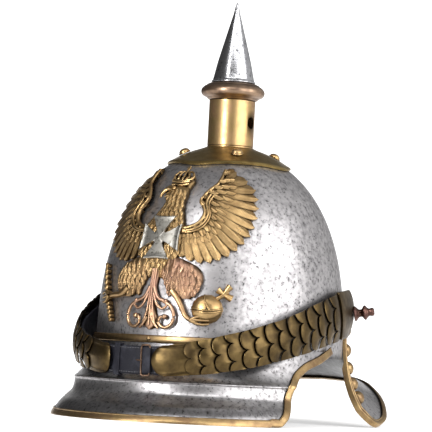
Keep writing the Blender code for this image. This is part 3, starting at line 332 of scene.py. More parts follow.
def along(points, share):
    """A point on the smooth curve through points, by the share of its spans."""
    spans = len(points) - 1
    place = min(max(share, 0.0), 1.0) * spans
    index = min(int(place), spans - 1)
    t = place - index
    p1 = Vector(points[index])
    p2 = Vector(points[index + 1])
    p0 = Vector(points[index - 1]) if index > 0 else 2 * p1 - p2
    p3 = Vector(points[index + 2]) if index + 2 <= spans else 2 * p2 - p1
    linear = (p2 - p0) * t
    square = (2 * p0 - 5 * p1 + 4 * p2 - p3) * t**2
    cube = (3 * p1 - p0 - 3 * p2 + p3) * t**3
    return p1 + (linear + square + cube) / 2


def picked(values, *places):
    """The value at places in nested lists; a number stands for a whole list of itself."""
    for place in places:
        if isinstance(values, (int, float)):
            break
        values = values[place]
    return values


# Materials


class Nodes:
    """A node tree with short ways to add nodes and to set or link their inputs."""

    def __init__(self, tree):
        self.tree = tree

    def feed(self, node, inputs):
        """Link inputs to sockets and set them to other values, leaving out None."""
        for key, value in inputs.items():
            if isinstance(value, bpy.types.NodeSocket):
                self.tree.links.new(value, node.inputs[key])
            elif value is not None:
                node.inputs[key].default_value = value

    def add(self, kind, inputs=None, **settings):
        """Add a node with its settings and inputs, and give back its outputs."""
        node = self.tree.nodes.new(kind)
        for key, value in settings.items():
            setattr(node, key, value)
        self.feed(node, inputs or {})
        return node.outputs

    def ramp(self, source, low, high, to_low=0.0, to_high=1.0, kind="LINEAR"):
        """A value stretched from low..high to 0..1 or to other limits, and held there."""
        inputs = {"Value": source, "From Min": low, "From Max": high, "To Min": to_low, "To Max": to_high}
        return self.add("ShaderNodeMapRange", inputs, clamp=True, interpolation_type=kind)["Result"]

    def maths(self, operation, first, second=None):
        return self.add("ShaderNodeMath", {0: first, 1: second}, operation=operation)["Value"]

    def times(self, first, second):
        return self.maths("MULTIPLY", first, second)

    def plus(self, first, second):
        return self.maths("ADD", first, second)

    def depth(self, source, axis):
        """How far a place lies along an axis."""
        return self.add("ShaderNodeVectorMath", {0: source, 1: axis}, operation="DOT_PRODUCT")["Value"]


class Finish(Nodes):
    """A material under construction, with its shader and its patterns."""

    def __init__(self, name, roughness, metallic):
        self.material = bpy.data.materials.new(name)
        self.material.use_nodes = True
        super().__init__(self.material.node_tree)
        self.shader = self.tree.nodes["Principled BSDF"]
        self.feed(self.shader, {"Roughness": roughness, "Metallic": metallic})
        self.place = self.add("ShaderNodeTexCoord")["Object"]

    def noise(self, scale, detail=4.0, stretch=None):
        """Noise with features about 1/scale metres wide, stretched along an axis if asked."""
        place = self.place
        if stretch:
            place = self.add("ShaderNodeMapping", {"Vector": place, "Scale": stretch})["Vector"]
        return self.add("ShaderNodeTexNoise", {"Vector": place, "Scale": scale, "Detail": detail})["Fac"]

    def blend(self, factor, first, second):
        """A colour between two colours or colour sockets."""
        inputs = {"Factor": factor}
        for key, value in (("A", first), ("B", second)):
            inputs[key] = (*value, 1.0) if isinstance(value, tuple) else value
        return self.add("ShaderNodeMix", inputs, data_type="RGBA")["Result"]

    def attribute(self, name):
        return self.add("ShaderNodeAttribute", attribute_name=name)["Fac"]

    def bump(self, height, strength, distance):
        outputs = self.add("ShaderNodeBump", {"Strength": strength, "Distance": distance, "Height": height})
        self.feed(self.shader, {"Normal": outputs["Normal"]})

    def done(self, colour, roughness=None):
        self.feed(self.shader, {"Base Color": colour, "Roughness": roughness})
        return self.material


def steel_finish(name, bright, dark, cover, roughness, inside=None):
    """Worn steel: bright metal under a mottled patina with fine pits.

    Cover is how much of it is dark, inside is the near-black painted shade colour for faces marked as inner
    or shaded ones."""
    finish = Finish(name, roughness[0], 1.0)
    mottle = finish.noise(290, 8)
    shade = finish.plus(finish.times(finish.noise(30, 6), 0.34), finish.times(mottle, 0.46))
    shade = finish.plus(shade, finish.times(finish.noise(90, 5, (1.0, 1.0, 0.25)), 0.20))
    worn = finish.ramp(shade, mix(0.54, 0.36, cover), mix(0.74, 0.62, cover), 1.0, 0.0)
    spots = finish.times(finish.ramp(finish.noise(620, 3), 0.52, 0.66), finish.ramp(mottle, 0.46, 0.58))
    colour = finish.blend(worn, dark, bright)
    colour = finish.blend(spots, colour, tuple(PIT_SHADE * tone for tone in dark))
    # Painted shade: faces marked low fade to the near-black inside colour
    if inside:
        colour = finish.blend(finish.ramp(finish.attribute("worn"), 0.35, 0.75), inside, colour)
    finish.bump(finish.maths("SUBTRACT", finish.times(finish.noise(900, 2), 0.25), spots), 0.25, 0.12 * MM)
    return finish.done(colour, finish.ramp(shade, 0.35, 0.65, *roughness))


def brass_finish(name, gold, brown, recess, roughness=(0.28, 0.46), chased=False):
    """Aged brass: gold where it is rubbed, brown patina between, dark where marked, for patina in recesses
    and for painted shade.
    """
    finish = Finish(name, roughness[0], 1.0)
    cloud = finish.noise(38, 5)
    mottle = finish.noise(170, 6)
    shade = finish.plus(finish.times(cloud, 0.5), finish.times(mottle, 0.5))
    colour = finish.blend(finish.ramp(shade, 0.42, 0.60), gold, brown)
    height = finish.times(finish.noise(800, 3), 0.3)
    worn = finish.attribute("worn")
    if chased:
        pink = finish.times(finish.attribute("copper"), finish.ramp(cloud, 0.35, 0.6, 0.55, 1.0))
        colour = finish.blend(pink, colour, ROSE_COPPER)
        patina_and_shade = finish.ramp(worn, 0.02, 0.55, 1.0, 0.0)
        patina_and_shade = finish.times(patina_and_shade, finish.ramp(mottle, 0.3, 0.6, 1.0, 0.7))
        # Painted shade: darker in crevices that ambient occlusion finds, together with the patina there
        reach = {"Distance": CREVICE_SHADE_REACH}
        crevice_shade = finish.add("ShaderNodeAmbientOcclusion", reach, samples=6, only_local=True)["AO"]
        patina_and_shade = finish.maths("MAXIMUM", patina_and_shade, finish.ramp(crevice_shade, 0.40, 0.86, 1.0, 0.0))
        barb = finish.add("ShaderNodeUVMap", uv_map="barbs")["UV"]
        parts = finish.add("ShaderNodeSeparateXYZ", {"Vector": barb})
        slant = finish.plus(parts["X"], finish.maths("ABSOLUTE", parts["Y"]))
        wave = finish.maths("SINE", finish.times(slant, BARB_PHASE))
        finish.bump(finish.plus(height, finish.times(wave, 0.45)), 0.8, 0.22 * MM)
    else:
        patina_and_shade = finish.ramp(worn, 0.0, 0.5, 1.0, 0.0)
        finish.bump(height, 0.3, 0.15 * MM)
    colour = finish.blend(patina_and_shade, colour, recess)
    return finish.done(colour, finish.ramp(shade, 0.35, 0.65, *roughness))


def leather_finish(name, tone, rubbed):
    """Dark grained leather with lighter scuffs."""
    finish = Finish(name, 0.5, 0.0)
    grain = finish.add("ShaderNodeTexVoronoi", {"Scale": 900, "Vector": finish.place}, feature="SMOOTH_F1")
    scuff = finish.noise(160, 6)
    finish.bump(grain["Distance"], 0.5, 0.25 * MM)
    finish.feed(finish.shader, {"Specular IOR Level": 0.2})
    colour = finish.blend(finish.ramp(scuff, 0.52, 0.72), tone, rubbed)
    return finish.done(colour, finish.ramp(scuff, 0.3, 0.7, 0.45, 0.7))


def thread_finish(name, tone):
    finish = Finish(name, 0.8, 0.0)
    fibre = finish.noise(2500, 2)
    colour = finish.blend(fibre, tone, tuple(0.5 * part for part in tone))
    finish.bump(fibre, 0.6, 0.1 * MM)
    return finish.done(colour)


# Near-black painted shade for the inner faces of the skull, visor and neck guard
INSIDE_SHADE = (0.010, 0.009, 0.009)
STEEL = steel_finish(
    "worn_steel", (0.53, 0.51, 0.515), (0.20, 0.192, 0.196), 0.62, (0.33, 0.48), INSIDE_SHADE
)
VISOR_STEEL = steel_finish(
    "visor_steel", (0.46, 0.445, 0.45), (0.17, 0.162, 0.163), 0.58, (0.26, 0.40), INSIDE_SHADE
)
BRIGHT_STEEL = steel_finish("bright_steel", (0.45, 0.45, 0.465), (0.25, 0.25, 0.265), 0.30, (0.16, 0.28))
CROSS_STEEL = steel_finish("cross_steel", (0.37, 0.355, 0.32), (0.15, 0.14, 0.12), 0.50, (0.34, 0.50))
TRIM_BRASS = brass_finish("trim_brass", (0.40, 0.275, 0.13), (0.235, 0.15, 0.08), (0.05, 0.035, 0.02))
SCALE_LOOK = brass_finish("scale_brass", (0.13, 0.088, 0.036), (0.064, 0.043, 0.020), (0.006, 0.005, 0.003))
TUBE_BRASS = brass_finish("tube_brass", (0.52, 0.36, 0.155), (0.40, 0.245, 0.13), (0.08, 0.05, 0.02))
PLATE_LOOK = brass_finish("crown_brass", (0.33, 0.235, 0.085), (0.20, 0.135, 0.05), (0.04, 0.03, 0.015))
COLLAR_BRASS = brass_finish("collar_brass", (0.33, 0.225, 0.15), (0.19, 0.125, 0.088), (0.04, 0.03, 0.02))
KNOB_COPPER = brass_finish("knob_copper", (0.19, 0.10, 0.078), (0.08, 0.042, 0.036), (0.02, 0.012, 0.008))
EAGLE_BRASS = brass_finish(
    "eagle_brass", (0.53, 0.355, 0.165), (0.31, 0.20, 0.09), (0.02, 0.013, 0.007), (0.26, 0.42), True
)
BUCKLE_COPPER = brass_finish(
    "buckle_copper", (0.15, 0.095, 0.065), (0.075, 0.045, 0.03), (0.03, 0.015, 0.01)
)
STRAP_LEATHER = leather_finish("strap_leather", (0.010, 0.010, 0.015), (0.028, 0.029, 0.038))
STRAP_THREAD = thread_finish("strap_thread", (0.10, 0.10, 0.11))


# Meshes


class Shell:
    """Points and faces of one mesh, with a worn value (low for patina and for painted shade), a copper
    value and a barb place for each point.

    The argument worn is one number, one for each row or one for each point."""

    def __init__(self):
        self.points = []
        self.faces = []
        self.worn = []
        self.copper = []
        self.barbs = []

    def grid(self, rows, worn=1.0, copper=0.0, barbs=None, closed_rows=False, closed_columns=False):
        """Add a grid of points."""
        start = len(self.points)
        count = len(rows)
        size = len(rows[0])
        for i, row in enumerate(rows):
            for j, point in enumerate(row):
                self.points.append(point)
                self.worn.append(picked(worn, i, j))
                self.copper.append(copper)
                self.barbs.append(barbs[i][j] if barbs else (0.0, 0.0))
        for i in range(count if closed_rows else count - 1):
            for j in range(size if closed_columns else size - 1):
                low = start + i * size
                high = start + (i + 1) % count * size
                k = (j + 1) % size
                self.faces.append((low + j, low + k, high + k, high + j))
        return start

    def tube(self, rows, worn=1.0, copper=0.0):
        """Add a grid closed round its columns, with a face on its first and its last row."""
        start = self.grid(rows, worn, copper, closed_columns=True)
        size = len(rows[0])
        for first in (start, start + (len(rows) - 1) * size):
            self.faces.append(tuple(range(first, first + size)))

    def ring(self, rows, worn=1.0):
        """Add a grid closed both ways."""
        self.grid(rows, worn, closed_rows=True, closed_columns=True)

    def solid(self, top, under, worn=1.0):
        """Add a closed solid between two grids of equal size."""
        wrapped = [list(upper) + list(reversed(lower)) for upper, lower in zip(top, under)]
        half = len(top[0])
        # Under faces get the painted shade value
        tones = [[picked(worn, i, j) for j in range(half)] + [UNDER_SHADE] * half for i in range(len(top))]
        start = self.grid(wrapped, tones, closed_columns=True)
        size = 2 * half
        for first in (start, start + (len(wrapped) - 1) * size):
            for j in range(half - 1):
                self.faces.append((first + j, first + j + 1, first + size - 2 - j, first + size - 1 - j))

    def turned(self, profile, place, segments=32, worn=1.0):
        """Add a solid of revolution from (radius, height) pairs, put in place by a matrix."""
        rows = []
        for radius, height in profile:
            around = [Vector((radius * cos(turn), radius * sin(turn), height)) for turn in turns(segments)]
            rows.append([place @ point for point in around])
        self.tube(rows, worn)

    def mesh(self, name):
        mesh = bpy.data.meshes.new(name)
        mesh.from_pydata([tuple(p) for p in self.points], [], self.faces)
        for key, values in (("worn", self.worn), ("copper", self.copper)):
            mesh.attributes.new(key, "FLOAT", "POINT").data.foreach_set("value", values)
        layer = mesh.uv_layers.new(name="barbs")
        for loop in mesh.loops:
            layer.data[loop.index].uv = self.barbs[loop.vertex_index]
        work = bmesh.new()
        work.from_mesh(mesh)
        bmesh.ops.recalc_face_normals(work, faces=work.faces)
        work.to_mesh(mesh)
        work.free()
        return mesh


def piece(name, shell, look, nodes=(), sharp=40, bevel=0.0):
    """Link a shell as a visible piece that rides on the helmet and stands for CAD nodes."""
    mesh = shell.mesh(name)
    mesh.materials.append(look)
    mesh.shade_smooth()
    mesh.set_sharp_from_angle(angle=radians(sharp))
    made = bpy.data.objects.new(name, mesh)
    bpy.context.collection.objects.link(made)
    if bevel:
        rounding = made.modifiers.new("rounding", "BEVEL")
        rounding.width = bevel
        rounding.segments = 2
        rounding.angle_limit = radians(sharp)
        rounding.harden_normals = True
    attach(made, "root")
    if nodes:
        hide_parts(*nodes)
    return made


def standing(seat, axis):
    """The matrix that stands a turned profile on a seat along an axis."""
    return Matrix.Translation(seat) @ axis.to_track_quat("Z", "Y").to_matrix().to_4x4()


def dome(radius, foot, height, steps, quarter):
    """The profile of a low dome; quarter is how many steps would reach its top."""
    angles = [pi / 2 * k / quarter for k in range(steps)]
    return [(radius * cos(angle), foot + height * sin(angle)) for angle in angles]


def skull_shares(height):
    up = min(max((height - DOME_START) / (DOME_TOP - DOME_START), 0.0), 1.0)
    return (1 - up**DOME_BULGE) ** (1 / DOME_SHOULDER), up


def skull_bare(turn, height):
    share, up = skull_shares(height)
    length = SKULL_HALF_LENGTH + (SKULL_HALF_WIDTH - SKULL_HALF_LENGTH) * up
    return Vector((SKULL_HALF_WIDTH * share * sin(turn), AXIS_Y - length * share * cos(turn), height))


def skull_normal(turn, height):
    step = 0.5 * MM
    low = max(height - step, DOME_START / 2)
    across = skull_bare(turn + 0.01, height) - skull_bare(turn - 0.01, height)
    upward = skull_bare(turn, min(height + step, DOME_TOP)) - skull_bare(turn, low)
    return across.cross(upward).normalized()


def skull_point(turn, height, offset=0.0):
    """A point on the skull's outer face, turned from the front towards +X, or off it by an offset."""
    point = skull_bare(turn, height)
    return point + skull_normal(turn, height) * offset if offset else point


def skull_height_at(radius):
    share = radius / SKULL_HALF_WIDTH
    up = (1 - share**DOME_SHOULDER) ** (1 / DOME_BULGE)
    return DOME_START + (DOME_TOP - DOME_START) * up


def make_skull():
    """The smooth steel bowl with its wall."""
    rows = 48
    vent_height = skull_height_at(CROWN_VENT_RADIUS)
    heights = [SKULL_FOOT, SKULL_FOOT + MM]
    heights += [mix(DOME_START, vent_height, sin(pi / 2 * i / (rows - 1))) for i in range(rows)]
    sections = []
    for turn in turns(144):
        outer = [skull_point(turn, height) for height in heights]
        inner = [skull_point(turn, height, -PLATE) for height in heights]
        inner[0].z = SKULL_FOOT
        sections.append(outer + inner[::-1])
    # Painted shade: dark along the foot and near black on the inner face
    tones = [FOOT_SHADE] * 2 + [1.0] * rows + [UNDER_SHADE] * (rows + 2)
    shell = Shell()
    shell.ring(sections, [tones] * len(sections))
    piece("skull_shell", shell, STEEL, ["skull_front", "skull_back"])


def grid_normal(grid, i, j):
    """The outward normal of a grid of points, from its neighbours."""
    across = grid[i][min(j + 1, len(grid[0]) - 1)] - grid[i][max(j - 1, 0)]
    downward = grid[min(i + 1, len(grid) - 1)][j] - grid[max(i - 1, 0)][j]
    normal = across.cross(downward).normalized()
    outward = Vector((grid[i][j].x, grid[i][j].y - AXIS_Y, 0))
    return normal if normal.dot(outward) > 0 else -normal


def add_plate(shell, grid, worn=1.0):
    """Add a sheet-metal plate under the outer face given by a grid."""
    under = [[p - grid_normal(grid, i, j) * PLATE for j, p in enumerate(row)] for i, row in enumerate(grid)]
    shell.solid(grid, under, worn)


def channel_corners(point, inside, normal, width, level, corner):
    """The folded trim's outline at a place: pairs of reach beyond the edge and lift off the plate."""
    outer = TRIM_PLAY + FOLD
    inner = -(PLATE + outer)
    reach_out = outer
    reach_in = outer
    if level:
        reach_out = (point.z + normal.z * outer) / inside.z
        reach_in = (point.z + normal.z * inner) / inside.z
        if corner:
            reach_out = min(reach_out, outer)
            reach_in = min(reach_in, outer)
    lip = reach_out - width
    crown = 0.35 * MM
    corners = [(lip, outer - crown), (lip + 0.25 * MM, outer - 0.1 * MM), (lip + 0.7 * MM, outer)]
    corners += [(lip + 1.1 * MM, outer - crown), (mix(lip, reach_out, 0.55), outer)]
    corners += [(reach_out - 0.8 * MM, outer), (reach_out - 0.2 * MM, outer - 0.25 * MM)]
    corners += [(reach_out, outer - 0.8 * MM)]
    if point.z > SKULL_FOOT - FOLD_START:
        corners += [(reach_out, -PLATE)] + [(GAP, -PLATE)] * 3
    else:
        corners += [(reach_in, inner), (lip, inner), (lip, inner + FOLD), (GAP, inner + FOLD)]
    return corners + [(GAP, TRIM_PLAY), (lip, TRIM_PLAY)]


def evened(directions, passes=3):
    """Directions along a route, each drawn towards its neighbours."""
    for _ in range(passes):
        padded = [directions[0], *directions, directions[-1]]
        threes = zip(padded, padded[1:], padded[2:])
        directions = [(before + 2 * middle + after).normalized() for before, middle, after in threes]
    return directions


def add_channel(shell, grid, route, width, level_foot=False):
    """Add a folded channel over a plate's edge, along a route of (row, column) pairs of its grid."""
    last_row = len(grid) - 1
    last_column = len(grid[0]) - 1
    edge = [grid[i][j] for i, j in route]
    insides = []
    normals = []
    for index, (i, j) in enumerate(route):
        tangent = (edge[min(index + 2, len(edge) - 1)] - edge[max(index - 2, 0)]).normalized()
        inside = grid[i - 3 if i == last_row else i][min(max(j, 3), last_column - 3)] - edge[index]
        inside = (inside - tangent * inside.dot(tangent)).normalized()
        normal = tangent.cross(inside).normalized()
        insides.append(inside)
        normals.append(-normal if normal.dot(grid_normal(grid, i, j)) < 0 else normal)
    rows = []
    tones = []
    for (i, j), point, inside, normal in zip(route, edge, evened(insides), evened(normals)):
        corner = j != min(max(j, 5), last_column - 5)
        corners = channel_corners(point, inside, normal, width, level_foot and i == last_row, corner)
        row = [point - inside * away + normal * up for away, up in corners]
        for place in row:
            place.z = max(place.z, 0.0)
        rows.append(row)
        tones.append([0.1] + [1.0] * (len(row) - 2) + [0.1])
    shell.tube(rows, tones)


def make_visor():
    rows = 84
    columns = 140
    seat = SEAT_GAP + PLATE
    grid = []
    tones = []
    for i in range(rows + 1):
        height_share, reach, edge = along(VISOR_SECTIONS, i / rows)
        side = mix(SKULL_HALF_WIDTH + seat, VISOR_SIDE_REACH, reach)
        front = mix(SKULL_HALF_LENGTH + seat, VISOR_FRONT_REACH, reach)
        height = mix(VISOR_PLATE_FOOT, VISOR_TOP, height_share)
        around = [radians(edge) * mix(-1, 1, k / columns) for k in range(columns + 1)]
        grid.append([Vector((side * sin(turn), AXIS_Y - front * cos(turn), height)) for turn in around])
        # Painted shade: the visor darkens towards its lower rim
        tones.append(mix(1.0, VISOR_RIM_SHADE, min(1.0, max(0.0, (i / rows - RIM_SHADE_START) / RIM_SHADE_FADE))))
    shell = Shell()
    add_plate(shell, grid, tones)
    piece("visor_plate", shell, VISOR_STEEL, ["visor"])
    route = [(i, 0) for i in range(0, rows, 3)]
    route += [(rows, j) for j in range(columns + 1)]
    route += [(i, columns) for i in range(rows - 3, -1, -3)]
    trim = Shell()
    add_channel(trim, grid, route, TRIM_WIDTH, True)
    piece("visor_edging", trim, TRIM_BRASS, ["visor_trim"], sharp=50)


def make_band():
    """The seam band with rounded edges, and its small four-sided rivet."""
    steps = 120
    profile = ((0.0, 0.45), (0.05, 0.8), (0.16, 1.0), (0.5, 1.06), (0.84, 1.0), (0.95, 0.8), (1.0, 0.45))
    places = [(BAND_FOOT + BAND_HEIGHT * share, lift) for share, lift in profile]
    top = []
    under = []
    for k in range(steps + 1):
        turn = mix(-BAND_HALF_TURN, BAND_HALF_TURN, k / steps)
        top.append([skull_point(turn, height, SEAT_GAP + BAND_THICKNESS * lift) for height, lift in places])
        under.append([skull_point(turn, height, SEAT_GAP) for height, lift in places])
    shell = Shell()
    shell.solid(top, under, [[0.25, 0.8, 1.0, 1.0, 1.0, 0.8, 0.25]] * (steps + 1))
    piece("seam_band", shell, TRIM_BRASS, ["front_band"])
    seat = skull_point(0, BAND_FOOT + BAND_HEIGHT / 2, SEAT_GAP + BAND_THICKNESS * 1.06)
    head = Shell()
    profile = [(2.3 * MM, 0), (2.1 * MM, 0.5 * MM), (0.4 * MM, 1.3 * MM)]
    head.turned(profile, standing(seat, Vector((0, -1, 0))), 4)
    piece("seam_rivet", head, TRIM_BRASS, ["band_rivet"], sharp=20, bevel=0.15 * MM)


def guard_grid(rows, half):
    """The neck guard's outer face: rows from seam to rim, columns from one ear round to the other."""
    side = []
    for index in range(half + 1):
        seam_turn, width, rearward, height = along(GUARD_RIM, index / half)
        back = (seam_turn - GUARD_RIM[0][0]) / (180 - GUARD_RIM[0][0])
        seam = mix(GUARD_TOP_SIDE, GUARD_TOP_BACK, back)
        top = skull_point(radians(seam_turn), seam, SEAT_GAP + PLATE)
        rear = AXIS_Y + GUARD_REAR_REACH * rearward
        rim = Vector((GUARD_HALF_WIDTH * width, rear, GUARD_TOP_SIDE * height))
        column = []
        for i in range(rows + 1):
            share = i / rows
            outward = share ** mix(GUARD_FLARE_SIDE, GUARD_FLARE_BACK, back)
            drop = mix(share, share**GUARD_DROP_BACK, back)
            x, y = (mix(top[axis], rim[axis], outward) for axis in (0, 1))
            column.append(Vector((x, y, mix(top.z, rim.z, drop))))
        side.append(column)
    columns = side + [[Vector((-p.x, p.y, p.z)) for p in column] for column in reversed(side[:-1])]
    return [[column[i] for column in columns] for i in range(rows + 1)]


def make_guard():
    rows = 36
    half = 90
    grid = guard_grid(rows, half)
    last = 2 * half
    shell = Shell()
    add_plate(shell, grid)
    piece("neck_plate", shell, VISOR_STEEL, ["neck_guard"])
    route = [(i, 0) for i in range(6, rows, 2)]
    route += [(rows, j) for j in range(last + 1)]
    route += [(i, last) for i in range(rows - 2, 5, -2)]
    trim = Shell()
    add_channel(trim, grid, route, GUARD_TRIM_WIDTH)
    piece("neck_edging", trim, TRIM_BRASS, ["neck_guard_trim"], sharp=50)
    spots = [(i, j) for i in range(rows + 1) for j in range(last + 1)]
    rim = 0.8 * MM
    profile = [(RIVET_RADIUS * 1.0, 0.0), (RIVET_RADIUS * 1.04, 0.35 * MM), (RIVET_RADIUS * 1.0, rim)]
    profile += dome(RIVET_RADIUS * 0.94, rim, RIVET_HEIGHT - rim, 9, 8.3)
    tones = [0.1, 0.5, 0.4] + [min(1.0, 0.35 + 0.12 * k) for k in range(9)]
    for name in [f"{side}_{number}" for side in ("left", "right") for number in range(1, 6)]:
        low, high = (Vector(corner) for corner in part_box(f"guard_rivet_{name}"))
        middle = (low + high) / 2
        i, j = min(spots, key=lambda spot: (grid[spot[0]][spot[1]] - middle).length)
        normal = grid_normal(grid, i, j)
        seat = middle - normal * ((middle - grid[i][j]).dot(normal) - 0.2 * MM)
        head = Shell()
        head.turned(profile, standing(seat, normal), 32, tones)
        piece(f"rivet_{name}", head, TRIM_BRASS, [f"guard_rivet_{name}"])


def make_crown():
    """The lobed base plate with its four studs."""

    def seated(turn, radius, lift):
        return skull_point(turn, skull_height_at(radius), SEAT_GAP + lift * PLATE_BRASS)

    sections = []
    for turn in turns(128):
        edge = PLATE_RADIUS + PLATE_LOBE * (cos(2 * turn) ** 2) ** 2
        section = []
        for radius in (PLATE_HOLE_RADIUS, TUBE_RADIUS):
            section.append(Vector((radius * sin(turn), AXIS_Y - radius * cos(turn), TUBE_FOOT - GAP)))
        section += [seated(turn, mix(TUBE_RADIUS, edge, share), lift) for share, lift in PLATE_ROWS]
        section += [seated(turn, mix(TUBE_RADIUS, edge, share), 0.0) for share in (1.0, 0.68, 0.34, 0.0)]
        section.append(seated(turn, PLATE_HOLE_RADIUS, 0.0))
        sections.append(section)
    shell = Shell()
    shell.ring(sections)
    piece("crown_plate", shell, PLATE_LOOK, ["spike_base"], sharp=55)
    profile = [(STUD_RADIUS * 0.9, 0.0), (STUD_RADIUS, 0.5 * MM), (STUD_RADIUS * 0.96, 1.0 * MM)]
    profile += dome(STUD_RADIUS * 0.86, 1.2 * MM, 2.8 * MM, 8, 7.4)
    for number in range(4):
        turn = FIRST_STUD_TURN + pi / 2 * number
        seat = seated(turn, STUD_RING, STUD_SEAT)
        head = Shell()
        axis = skull_normal(turn, skull_height_at(STUD_RING))
        head.turned(profile, standing(seat, axis), 28, [0.1, 0.4, 0.7, 0.4] + [1.0] * 7)
        piece(f"crown_stud_{number + 1}", head, TUBE_BRASS, [f"base_stud_{number + 1}"])


def make_tube():
    """The tube with a turned groove at its foot and its vents bored through."""
    bore = TUBE_RADIUS - TUBE_WALL
    groove = TUBE_RADIUS - TUBE_GROOVE
    outline = [(bore, TUBE_FOOT), (TUBE_RADIUS, TUBE_FOOT), (TUBE_RADIUS, TUBE_FOOT + 1.2 * MM)]
    outline += [(groove, TUBE_FOOT + 1.4 * MM), (groove, TUBE_FOOT + 1.7 * MM)]
    outline += [(TUBE_RADIUS, TUBE_FOOT + 1.9 * MM), (TUBE_RADIUS, TUBE_HEAD), (bore, TUBE_HEAD)]
    rows = [[AXIS + Vector((r * cos(turn), r * sin(turn), z)) for r, z in outline] for turn in turns(96)]
    tube = Shell()
    tube.ring(rows, [[1.0, 1.0, 0.8, 0.0, 0.0, 0.8, 1.0, 1.0]] * 96)
    made = piece("vent_tube", tube, TUBE_BRASS, ["spike_tube"])
    drill = Shell()
    place = Matrix.Translation(AXIS + Vector((0, 0, VENT_HEIGHT))) @ Matrix.Rotation(pi / 2, 4, "Y")
    drill.turned([(VENT_RADIUS, -2 * TUBE_RADIUS), (VENT_RADIUS, 2 * TUBE_RADIUS)], place, 40)
    cutter = bpy.data.objects.new("vent_drill", drill.mesh("vent_drill"))
    bpy.context.collection.objects.link(cutter)
    cut = made.modifiers.new("vents", "BOOLEAN")
    cut.operation = "DIFFERENCE"
    cut.object = cutter
    bpy.context.view_layer.update()
    drilled = bpy.data.meshes.new_from_object(made.evaluated_get(bpy.context.evaluated_depsgraph_get()))
    made.modifiers.clear()
    made.data = drilled
    bpy.data.objects.remove(cutter)


def make_turned(name, node, table, radius, foot, head, look, worn=1.0):
    """A turned fitting on the skull's axis, from a table of radius and height shares."""
    shell = Shell()
    profile = [(radius * r, mix(foot, head, h)) for r, h in table]
    shell.turned(profile, Matrix.Translation(AXIS), 96, worn)
    piece(name, shell, look, [node], sharp=60)


def make_spike_fittings():
    """The base plate with its studs, the vented tube, the collar and the spike."""
    make_crown()
    make_tube()
    worn = [0.2, 0.3, 0.8, 0.2, 0.7] + [1.0] * 7 + [0.8, 0.1, 0.8, 0.5, 0.2]
    make_turned(
        "turned_collar", "spike_collar", COLLAR_PROFILE, COLLAR_RADIUS, COLLAR_FOOT, COLLAR_HEAD,
        COLLAR_BRASS, worn,
    )
    make_turned(
        "steel_spike", "spike", SPIKE_PROFILE, SPIKE_RADIUS, COLLAR_HEAD + GAP, SPIKE_TIP,
        BRIGHT_STEEL,
    )


# Chin strap


def strap_middle(turn, side):
    near = min(max((KNOB_TURN - turn) / SPREAD_TURN, 0.0), 1.0)
    near = near * near * (3 - 2 * near)
    half_width = mix(SKULL_HALF_WIDTH + STRAP_SEAT, STRAP_SIDE_REACH, near)
    half_length = mix(SKULL_HALF_LENGTH + STRAP_SEAT, STRAP_FRONT_REACH, near)
    height = mix(STRAP_FRONT_HEIGHT, KNOB_HEIGHT, table_value(STRAP_RUN, 1, abs(turn)))
    angle = radians(turn)
    return Vector((side * half_width * sin(angle), AXIS_Y - half_length * cos(angle), height))


class StrapPath:
    """The strap's middle line on one side, measured from the knob towards and past the front."""

    def __init__(self, side):
        self.side = side
        self.turns = [KNOB_TURN + PATH_BEFORE - k for k in range(KNOB_TURN + PATH_BEFORE + PATH_PAST)]
        self.points = [strap_middle(turn, side) for turn in self.turns]
        self.lengths = [0.0]
        for a, b in zip(self.points, self.points[1:]):
            self.lengths.append(self.lengths[-1] + (b - a).length)
        self.start = 0.0
        self.start = self.length_at(KNOB_TURN)

    def length_at(self, turn):
        place = KNOB_TURN + PATH_BEFORE - turn
        index = min(int(place), len(self.lengths) - 2)
        return mix(self.lengths[index], self.lengths[index + 1], place - index) - self.start

    def turn_at(self, distance):
        target = distance + self.start
        for index in range(len(self.lengths) - 1):
            if target <= self.lengths[index + 1]:
                step = self.lengths[index + 1] - self.lengths[index]
                return self.turns[index] - (target - self.lengths[index]) / step
        return self.turns[-1]

    def half_width(self, distance):
        return STRAP_FULL_WIDTH * table_value(STRAP_RUN, 2, abs(self.turn_at(distance))) / 2

    def place(self, distance, across, out):
        """A point at a distance from the knob, across the strap in metres, and out from its seat."""
        turn = self.turn_at(distance)
        middle = strap_middle(turn, self.side)
        forward = (strap_middle(turn - 1.0, self.side) - middle).normalized()
        level_out = Vector((-forward.y, forward.x, 0)).normalized()
        if level_out.dot(Vector((middle.x, middle.y - AXIS_Y, 0))) < 0:
            level_out = -level_out
        upward = level_out.cross(forward)
        upward = upward if upward.z > 0 else -upward
        return middle + upward * across + level_out * out

    def domed(self, distance, share, out):
        """A point on the scales' crowned width: across as a share of half their width."""
        crown = SCALE_CROWN * (1 - share * share)
        return self.place(distance, share * self.half_width(distance), out + crown)


def lobe(across, kind):
    """How far a scale's edge reaches at a place across it: two full lobes, or one between two halves."""
    place = abs(across) * 2
    offset = abs(place - 1) if kind == 0 else min(place, abs(2 - place))
    return sqrt(max(1 - offset * offset, 0.0))


def boss_edge(across):
    return FIRST_SCALE - SCALE_LOBE * (0.5 + 0.5 * across * across)


def scales_end():
    return FIRST_SCALE + (SCALES - 1) * SCALE_PITCH + END_CAP_LENGTH


def scale_edge(number, across):
    """How far from the knob a scale's front edge lies, at a place across the strap."""
    if number == 0:
        return boss_edge(across)
    start = FIRST_SCALE + number * SCALE_PITCH - SCALE_LOBE
    return start + SCALE_LOBE * lobe(across, number % 2)


def rounded(across, depth):
    """How far a rounded end falls back at a place across the strap."""
    return depth * (1 - sqrt(1 - (across * 0.98) ** 2))


